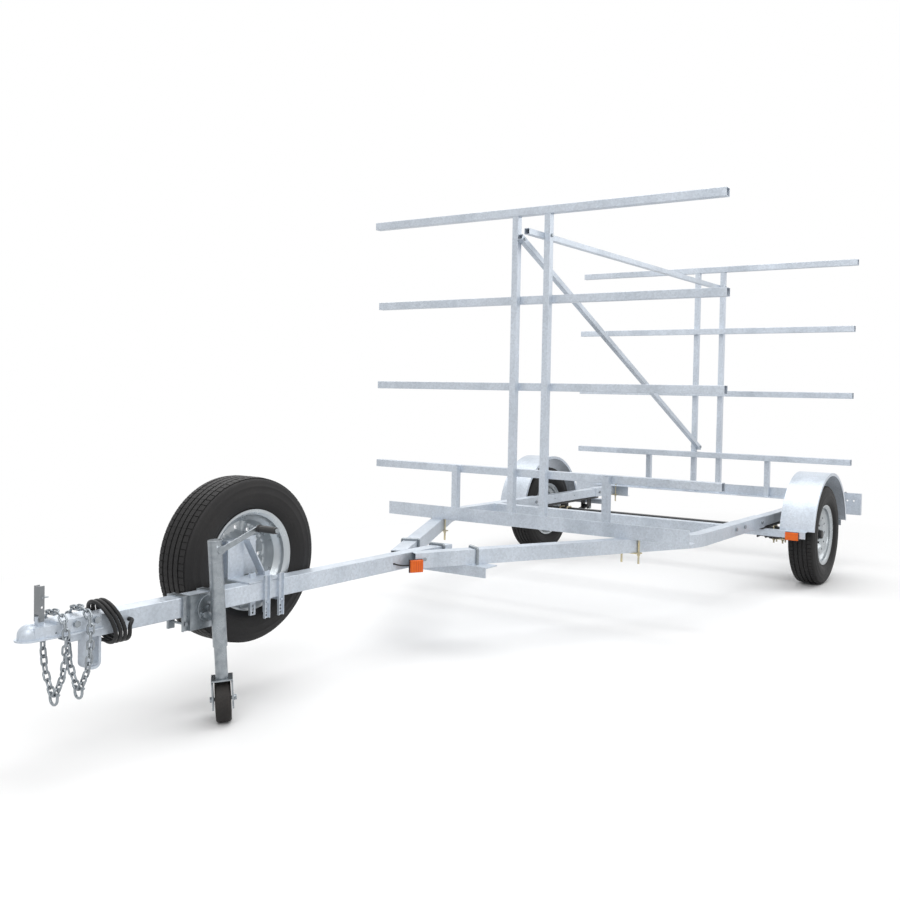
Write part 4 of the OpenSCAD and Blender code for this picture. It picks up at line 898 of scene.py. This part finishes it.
@dataclass
class Chassis(SubAssembly):
    """Drawbar, rails, crossmembers, plates and their fasteners."""

    nodes: dict[str, tuple[Slot, Rounding]] = field(
        default_factory=lambda: {
            "drawbar": (Slot.GALVANISED, SOFT_TUBE),
            "front_rails": (Slot.GALVANISED, SOFT_TUBE),
            "axle_rails": (Slot.GALVANISED, SOFT_TUBE),
            "rear_rails": (Slot.GALVANISED, SOFT_TUBE),
            "chassis_crossmember": (Slot.GALVANISED, SMALL_TUBE),
            "vee_plate": (Slot.GALVANISED, SHEET),
            "front_base_angle": (Slot.GALVANISED, FORGED),
            "rear_base_angle": (Slot.GALVANISED, FORGED),
            "tail_brackets": (Slot.GALVANISED, SHEET),
            "frame_bolts": (Slot.ZINC, MACHINED),
            "rack_clamps": (Slot.YELLOW_ZINC, MACHINED),
        }
    )


@dataclass
class Racks(SubAssembly):
    """The two canoe racks with their braces and welds."""

    post: float = 35.0
    bar: float = 40.0
    post_x: float = 96.0
    stub_x: float = 455.0
    base_z: float = 435.0
    lowest_bar: float = 725.0
    bar_pitch: float = 445.0
    front_post_y: float = -1731.5
    rear_post_y: float = 690.5
    bead_step: float = 2.6 * MM
    bead_size: float = 2.3 * MM
    foot_lift: float = 0.5
    seam_gap: float = 0.3
    seam_end: float = 3.0
    stub_rows: int = 1
    post_rows: int = 3
    nodes: dict[str, tuple[Slot, Rounding]] = field(
        default_factory=lambda: {
            "rack_uprights": (Slot.GALVANISED, SMALL_TUBE),
            "rack_stubs": (Slot.GALVANISED, SMALL_TUBE),
            "front_bars": (Slot.GALVANISED, SMALL_TUBE),
            "rear_bars": (Slot.GALVANISED, SMALL_TUBE),
            "rack_braces": (Slot.GALVANISED, SMALL_TUBE),
        }
    )

    def build(self) -> None:
        """Dresses the tubes and lays the welds."""
        super().build()
        bm = bmesh.new()
        for line in self.weld_lines():
            verts = [bm.verts.new(p) for p in line]
            for a, b in zip(verts, verts[1:]):
                bm.edges.new((a, b))
        rule = bead_rule(self.shop.palette[Slot.GALVANISED])
        sizes = {"Bead step": self.bead_step, "Bead size": self.bead_size}
        welds = rule.run("rack_welds", to_mesh("weld_lines", bm), sizes)
        self.shop.fit(welds, "chassis", Slot.GALVANISED)

    def weld_lines(self) -> list[list[Vector]]:
        """Lines along which the uprights are welded to their angles and bars.

        Returns:
            The lines.
        """
        half = self.post / 2
        reach = half - self.seam_end
        lines = []
        racks = ((self.front_post_y, 1), (self.rear_post_y, -1))
        for y, inward in racks:
            for x in (-self.stub_x, -self.post_x, self.post_x, self.stub_x):
                corners = ((-1, -1), (1, -1), (1, 1), (-1, 1), (-1, -1))
                foot = self.base_z + self.foot_lift
                lines.append([at(x + a * half, y + b * half, foot) for a, b in corners])
                rows = self.stub_rows if abs(x) == self.stub_x else self.post_rows
                for row in range(rows):
                    top = self.lowest_bar + row * self.bar_pitch
                    seam = y + inward * (half + self.seam_gap)
                    for z in (top + self.seam_gap, top - self.bar - self.seam_gap):
                        if z > top and rows == self.stub_rows:  # a stub ends under its bar
                            continue
                        lines.append([at(x - reach, seam, z), at(x + reach, seam, z)])
        return lines


@dataclass
class Running(SubAssembly):
    """Springs, axle, mudguards, stays and side lamps."""

    nodes: dict[str, tuple[Slot, Rounding]] = field(
        default_factory=lambda: {
            "mudguards": (Slot.GALVANISED, Rounding(0.0, sharp=50.0)),
            "mudguard_stays": (Slot.GALVANISED, FORGED),
            "side_lamp_bases": (Slot.BLACK_PLASTIC, Rounding(2.0 * MM, 3)),
            "side_lamp_lenses": (Slot.AMBER, Rounding(2.6 * MM, 3)),
            "spring_hangers": (Slot.BLACK_STEEL, SHEET),
            "spring_pins": (Slot.ZINC, MACHINED),
            "leaf_springs": (Slot.BLACK_STEEL, Rounding(0.8 * MM, 2, 0.03)),
            "axle_beam": (Slot.BLACK_STEEL, SMALL_TUBE),
            "spring_seats": (Slot.YELLOW_ZINC, MACHINED),
        }
    )


@dataclass(frozen=True)
class TreadBand:
    """One ring of tread blocks: its place across the tyre, its width, how far it lies below the
    crown, the share of the pitch that a block fills, and its lean in degrees."""

    across: float
    width: float
    top: float
    share: float
    lean: float = 0.0


@dataclass
class Tyre:
    """A road tyre: a turned carcass with blocks of tread round its crown."""

    shop: Workshop
    name: str
    body: str
    node: str
    centre: Vector
    facing: int
    crown: float = 298.0
    blocks: int = 78
    steps: int = 144
    carcass: tuple[Span, ...] = (
        (165.6, 52.0), (166.2, 55.2), (169.0, 56.4), (174.0, 57.4), (181.0, 60.0), (187.0, 64.6),
        (195.0, 72.0), (204.0, 77.6), (207.0, 79.2), (209.5, 79.3), (211.0, 80.4), (222.0, 81.7),
        (236.0, 82.0), (238.0, 82.4), (241.0, 82.4), (242.5, 81.6), (256.0, 80.2), (262.0, 79.0),
        (264.0, 79.4), (267.0, 78.8), (268.5, 77.6), (277.0, 75.4), (284.0, 72.8), (289.0, 69.6),
        (291.0, 66.0), (291.4, 60.0), (291.0, 20.0),
    )
    lining: tuple[Span, ...] = (
        (165.6, -40.0), (178.0, -56.0), (215.0, -70.0), (262.0, -69.0), (280.0, -52.0), (284.0, 0.0),
    )
    bands: tuple[TreadBand, ...] = (
        TreadBand(0.0, 19.5, 0.4, 0.985),
        TreadBand(26.0, 20.0, 0.6, 0.975),
        TreadBand(-26.0, 20.0, 0.6, 0.975),
        TreadBand(52.5, 22.0, 1.7, 0.9, 7.0),
        TreadBand(-52.5, 22.0, 1.7, 0.9, -7.0),
    )
    block_height: float = 8.6
    block_edge: float = 0.6
    sharp: float = 32.0

    def build(self) -> bpy.types.Object:
        """Builds the tyre and puts it on its body.

        Returns:
            The piece.
        """
        outer = list(self.carcass)
        profile = outer + [(r, -w) for r, w in reversed(outer)]
        inner = list(self.lining)
        inner += [(r, -w) for r, w in reversed(inner[:-1])]
        bm = lathe(profile + inner, self.centre, self.steps, self.facing)
        self.lay_tread(bm)
        piece = new_object(self.name, to_mesh(self.name, bm))
        smooth_by_angle(piece.data, self.sharp)
        return self.shop.fit(piece, self.body, Slot.TYRE, self.node)

    def lay_tread(self, bm: bmesh.types.BMesh) -> None:
        """Adds the blocks of every band.

        Args:
            bm: The carcass that they go on.
        """
        rule = tread_rule(self.shop.palette[Slot.TYRE])
        pitch = math.tau * self.crown / self.blocks
        for number, band in enumerate(self.bands):
            middle = self.crown - band.top - self.block_height / 2
            size = (band.width * MM, pitch * band.share * MM, self.block_height * MM)
            ring = rule.run(
                f"{self.name}_band_{number}",
                bpy.data.meshes.new("band_start"),
                {
                    "Blocks round": self.blocks,
                    "Band radius": middle * MM,
                    "Block size": size,
                    "Block lean": (0.0, math.radians(band.lean), 0.0),
                    "Band centre": self.centre + Vector((band.across * MM, 0.0, 0.0)),
                },
            )
            part = bmesh.new()
            part.from_mesh(ring.data)
            edge = self.block_edge * MM
            bmesh.ops.bevel(part, geom=part.edges[:], offset=edge, segments=1, affect="EDGES")
            scratch = to_mesh("band", part)
            bm.from_mesh(scratch)
            bpy.data.meshes.remove(scratch)
            bpy.data.objects.remove(ring)


@dataclass
class Wheels(SubAssembly):
    """The two road wheels, hubs to hub caps, and the spare on its carrier."""

    wheel_x: float = 985.0
    axle_z: float = 298.0
    spare: Point = (-129.0, -3473.0, 493.0)
    nodes: dict[str, tuple[Slot, Rounding]] = field(
        default_factory=lambda: {
            **{
                f"{side}_{part}": finish
                for side in ("left", "right")
                for part, finish in (
                    ("hub", (Slot.BLACK_STEEL, MACHINED)),
                    ("bearings", (Slot.BEARING, PLAIN)),
                    ("rim", (Slot.RIM, MACHINED)),
                    ("wheel_nuts", (Slot.ZINC, MACHINED)),
                    ("hub_cap", (Slot.BLACK_PLASTIC, Rounding(2.2 * MM, 3))),
                )
            },
            "spare_rim": (Slot.RIM, MACHINED),
            "spare_carrier": (Slot.GALVANISED, SHEET),
        }
    )

    def build(self) -> None:
        """Dresses the wheels and builds the three tyres."""
        super().build()
        left = at(self.wheel_x, 0, self.axle_z)
        right = at(-self.wheel_x, 0, self.axle_z)
        Tyre(self.shop, "road_tyre_left", "left_wheel", "left_tyre", left, 1).build()
        Tyre(self.shop, "road_tyre_right", "right_wheel", "right_tyre", right, -1).build()
        Tyre(self.shop, "spare_wheel_tyre", "chassis", "spare_tyre", at(*self.spare), -1).build()


@dataclass
class Coupling(SubAssembly):
    """The coupling head, its lever, the safety loop and the hanging chains."""

    nodes: dict[str, tuple[Slot, Rounding]] = field(
        default_factory=lambda: {
            "coupling_housing": (Slot.GALVANISED, FORGED),
            "coupling_lever": (Slot.LEVER, Rounding(0.7 * MM, 2)),
            "coupling_trigger": (Slot.ZINC, MACHINED),
            "coupling_tongue": (Slot.ZINC, MACHINED),
            "safety_loop": (Slot.GALVANISED, PLAIN),
            "chain_wraps": (Slot.ZINC, PLAIN),
            "front_chain": (Slot.ZINC, PLAIN),
            "rear_chain": (Slot.ZINC, PLAIN),
        }
    )


@dataclass
class JockeyWheel(SubAssembly):
    """The jockey wheel in its clamp, with its crank."""

    nodes: dict[str, tuple[Slot, Rounding]] = field(
        default_factory=lambda: {
            "jockey_clamp": (Slot.ZINC, SHEET),
            "jockey_outer_tube": (Slot.ZINC, FORGED),
            "jockey_crank": (Slot.ZINC, FORGED),
            "jockey_grip": (Slot.BLACK_PLASTIC, Rounding(2.5 * MM, 3)),
            "jockey_screw": (Slot.ZINC, PLAIN),
            "jockey_inner_tube": (Slot.ZINC, MACHINED),
            "jockey_fork": (Slot.ZINC, FORGED),
            "jockey_wheel": (Slot.JOCKEY_RUBBER, Rounding(2.0 * MM, 3)),
            "jockey_lock_pin": (Slot.ZINC, MACHINED),
        }
    )


@dataclass
class Wiring:
    """The coiled lighting cable with its plug, and the leads of the two front lamps."""

    shop: Workshop
    cable: float = 12.0
    cable_sides: int = 14
    lead: float = 6.0
    lead_sides: int = 10
    fineness: int = 3
    turns: int = 3
    last_turn: float = 80.0
    turn_pitch: float = 15.5
    turn_half_width: float = 60.0
    turn_half_height: float = 66.0
    turn_slant: float = 30.0
    turn_start: float = 250.0
    turn_steps: int = 24
    turn_first_y: float = -4112.0
    rail_mid: float = 397.5
    nose_y: float = -2692.46
    half: float = 32.5
    plug: Point = (-80.0, -4106.0, 380.0)
    plug_tail: Span = (4.0, 16.0)
    lead_in: tuple[Point, ...] = ((-72.0, -4100.0, 350.0), (-50.0, -4092.0, 338.0))
    lead_out: tuple[Point, ...] = (
        (57.0, -4050.0, 384.0), (51.0, -4040.0, 396.0), (45.0, -4037.0, 399.0), (30.0, -4037.0, 399.0),
    )
    lamp_route: tuple[Point, ...] = (
        (-4.0, -113.0, -2.0), (5.0, -110.0, -3.0), (9.0, -95.0, -8.0),
        (10.7, -70.0, -14.0), (12.2, -48.0, -16.0), (22.8, -33.6, -17.0),
    )

    def turn_point(self, angle: float) -> Vector:
        """A point of the coil round the drawbar.

        Args:
            angle: How far round, in degrees.

        Returns:
            The point.
        """
        turn = math.radians(angle)
        along = self.turn_pitch * (angle - self.turn_start) / 360 - self.turn_slant * math.sin(turn)
        return at(
            self.turn_half_width * math.cos(turn),
            self.turn_first_y + along,
            self.rail_mid + self.turn_half_height * math.sin(turn),
        )

    def route(self) -> list[Vector]:
        """The cable's route from the drawbar's hole to the plug, as in the part's source.

        Returns:
            The route's points.
        """
        x, y, z = self.plug
        tail = [at(x, y, z - drop) for drop in self.plug_tail]
        step = 360 / self.turn_steps
        count = int((360 * self.turns + self.last_turn) / step)
        coil = [self.turn_point(self.turn_start + k * step) for k in range(count + 1)]
        ends = [[at(*point) for point in points] for points in (self.lead_in, self.lead_out)]
        return list(reversed(tail + ends[0] + coil + ends[1]))

    def build(self) -> None:
        """Builds the cable, the plug and both leads."""
        plug = self.shop.round_node("wiring_plug", Slot.BLACK_PLASTIC, Rounding(2.4 * MM, 3))
        path = smooth_path(self.route(), self.fineness)
        mesh = tube_mesh("lighting_cable", path, self.cable / 2 * MM, self.cable_sides)
        cable = self.shop.fit(new_object("lighting_cable", mesh), "chassis", Slot.SHEATH, "wiring_cable")
        tuple(path[0])
        path_length(path)
        for side, word in ((1, "left"), (-1, "right")):
            self.build_lead(side, word)

    def build_lead(self, side: int, word: str) -> None:
        """Builds the lead of one front lamp.

        Args:
            side: 1 for +X, -1 for -X.
            word: The side's name.
        """
        y, z = self.nose_y, self.rail_mid
        points = [at(side * (self.half + a), y + b, z + c) for a, b, c in self.lamp_route]
        path = smooth_path(points, self.fineness)
        mesh = tube_mesh(f"lamp_lead_{word}", path, self.lead / 2 * MM, self.lead_sides)
        piece = self.shop.fit(new_object(f"lamp_lead_{word}", mesh), "chassis", Slot.SHEATH, "lamp_leads")
        tuple(path[0])
        path_length(path)


# Studio


def seen_ray(tree: bpy.types.NodeTree) -> bpy.types.NodeSocket:
    """A value of 1 for rays from the eye, in gloss or through a lens, and 0 for light's own.

    Args:
        tree: The node tree to write into.

    Returns:
        The value's socket.
    """
    ray = tree.nodes.new("ShaderNodeLightPath")
    seen = ray.outputs["Is Camera Ray"]
    for name in ("Is Glossy Ray", "Is Transmission Ray"):
        either = tree.nodes.new("ShaderNodeMath")
        either.operation = "MAXIMUM"
        tree.links.new(seen, either.inputs[0])
        tree.links.new(ray.outputs[name], either.inputs[1])
        seen = either.outputs[0]
    return seen


@dataclass(frozen=True)
class Lamp:
    """A round soft lamp: its place, what it points at, its width in metres and its power in watts."""

    eye: Point
    aim: Point
    size: float
    power: float


@dataclass
class Studio:
    """The camera, floor, lamps and world."""

    eye: Point = (2.5912, -4.009, 1.1025)
    yaw: float = 32.206
    pitch: float = -1.522
    roll: float = 1.213
    lens: float = 37.938
    shift: Span = (-0.0903, -0.0317)
    sensor: float = 36.0
    clip_end: float = 300.0
    lamps: tuple[Lamp, ...] = (
        Lamp((0.0, 0.2, 6.4), (0.0, 0.2, 0.5), 6.0, 210.0),
        Lamp((3.4, -4.6, 4.6), (0.0, 0.2, 0.5), 5.0, 150.0),
        Lamp((-5.0, 1.0, 4.6), (0.0, 0.2, 0.8), 5.0, 90.0),
        Lamp((3.5, 5.5, 4.4), (0.0, 1.0, 0.8), 4.5, 80.0),
    )
    floor_half: float = 60.0
    floor_z: float = -0.5 * MM
    shadow_reach: Point = (1.9, 3.5, 1.0)
    fade: Span = (0.75, 1.5)
    sky: float = 0.48
    floor_seen: Point = (0.93, 0.93, 0.93)
    floor_bounce: Point = (0.5, 0.5, 0.5)
    floor_rough: float = 0.85
    floor_gloss: float = 0.15

    def build_camera(self) -> None:
        """Stands the camera where the photograph was taken from."""
        yaw, pitch, roll = (math.radians(a) for a in (self.yaw, self.pitch, self.roll))
        ahead = Vector((-math.sin(yaw) * math.cos(pitch), math.cos(yaw) * math.cos(pitch), math.sin(pitch)))
        level = ahead.cross(Vector((0, 0, 1))).normalized()
        rise = level.cross(ahead)
        right = level * math.cos(roll) + rise * math.sin(roll)
        up = right.cross(ahead)
        data = bpy.data.cameras.new("view")
        data.lens, data.sensor_width = self.lens, self.sensor
        data.shift_x, data.shift_y = self.shift
        data.clip_end = self.clip_end
        camera = bpy.data.objects.new("view", data)
        turn = Matrix((right, up, -ahead)).transposed().to_4x4()
        camera.matrix_world = Matrix.Translation(self.eye) @ turn
        bpy.context.scene.collection.objects.link(camera)
        bpy.context.scene.camera = camera

    def build_floor(self) -> None:
        """Lays the pale floor."""
        bm = bmesh.new()
        h, z = self.floor_half, self.floor_z
        bm.faces.new([bm.verts.new((x, y, z)) for x, y in ((-h, -h), (h, -h), (h, h), (-h, h))])
        floor = new_object("floor", to_mesh("floor", bm))
        floor.data.materials.append(self.floor_material())

    def floor_material(self) -> bpy.types.Material:
        """Pale floor that takes the trailer's shadow and turns plain white away from it.

        Returns:
            The material.
        """
        g = Graph("floor")
        seen = seen_ray(g.tree)
        g.set(Base_Color=g.mix(seen, self.floor_bounce, self.floor_seen))
        g.set(Roughness=self.floor_rough, Specular_IOR_Level=self.floor_gloss)
        scale = tuple(1.0 / reach for reach in self.shadow_reach)
        far = g.node("ShaderNodeVectorMath", {0: g.stretched(scale)}, operation="LENGTH").outputs["Value"]
        share = g.math("MULTIPLY", g.spread(far, 0.0, 1.0, *self.fade), seen)
        white = g.node("ShaderNodeEmission", {"Color": WHITE, "Strength": 1.0})
        both = g.node("ShaderNodeMixShader", {0: share, 1: g.shader.outputs[0], 2: white.outputs[0]})
        g.tree.links.new(both.outputs[0], g.tree.nodes["Material Output"].inputs["Surface"])
        return g.material

    def build_lights(self) -> None:
        """Hangs the soft lamps."""
        for number, lamp in enumerate(self.lamps):
            data = bpy.data.lights.new(f"soft_{number}", "AREA")
            data.shape, data.size, data.energy = "DISK", lamp.size, lamp.power
            hung = bpy.data.objects.new(f"soft_{number}", data)
            hung.location = lamp.eye
            ray = Vector(lamp.aim) - Vector(lamp.eye)
            hung.rotation_euler = ray.to_track_quat("-Z", "Y").to_euler()
            bpy.context.scene.collection.objects.link(hung)

    def build_world(self) -> None:
        """Sets a world that is white to the eye and dimmer as a light."""
        world = bpy.data.worlds.new("studio")
        world.use_nodes = True
        tree = world.node_tree
        strength = tree.nodes.new("ShaderNodeMapRange")
        strength.inputs["To Min"].default_value = self.sky
        strength.inputs["To Max"].default_value = 1.0
        tree.links.new(seen_ray(tree), strength.inputs["Value"])
        background = tree.nodes["Background"]
        background.inputs["Color"].default_value = WHITE
        tree.links.new(strength.outputs[0], background.inputs["Strength"])
        bpy.context.scene.world = world

    def build(self) -> None:
        """Builds the camera and the room."""
        self.build_camera()
        self.build_floor()
        self.build_lights()
        self.build_world()
        bpy.context.scene.view_settings.view_transform = "Standard"


def main() -> None:
    """Dresses the trailer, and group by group."""
    logging.basicConfig(level=logging.INFO, format="%(message)s")
    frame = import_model()
    Studio().build()
    shop = Workshop(frame)
    for group in (Wiring, Chassis, Racks, Running, Wheels, Coupling, JockeyWheel):
        group(shop).build()
        LOG.info("%s done", group.__name__)


if __name__ == "__main__":
    main()
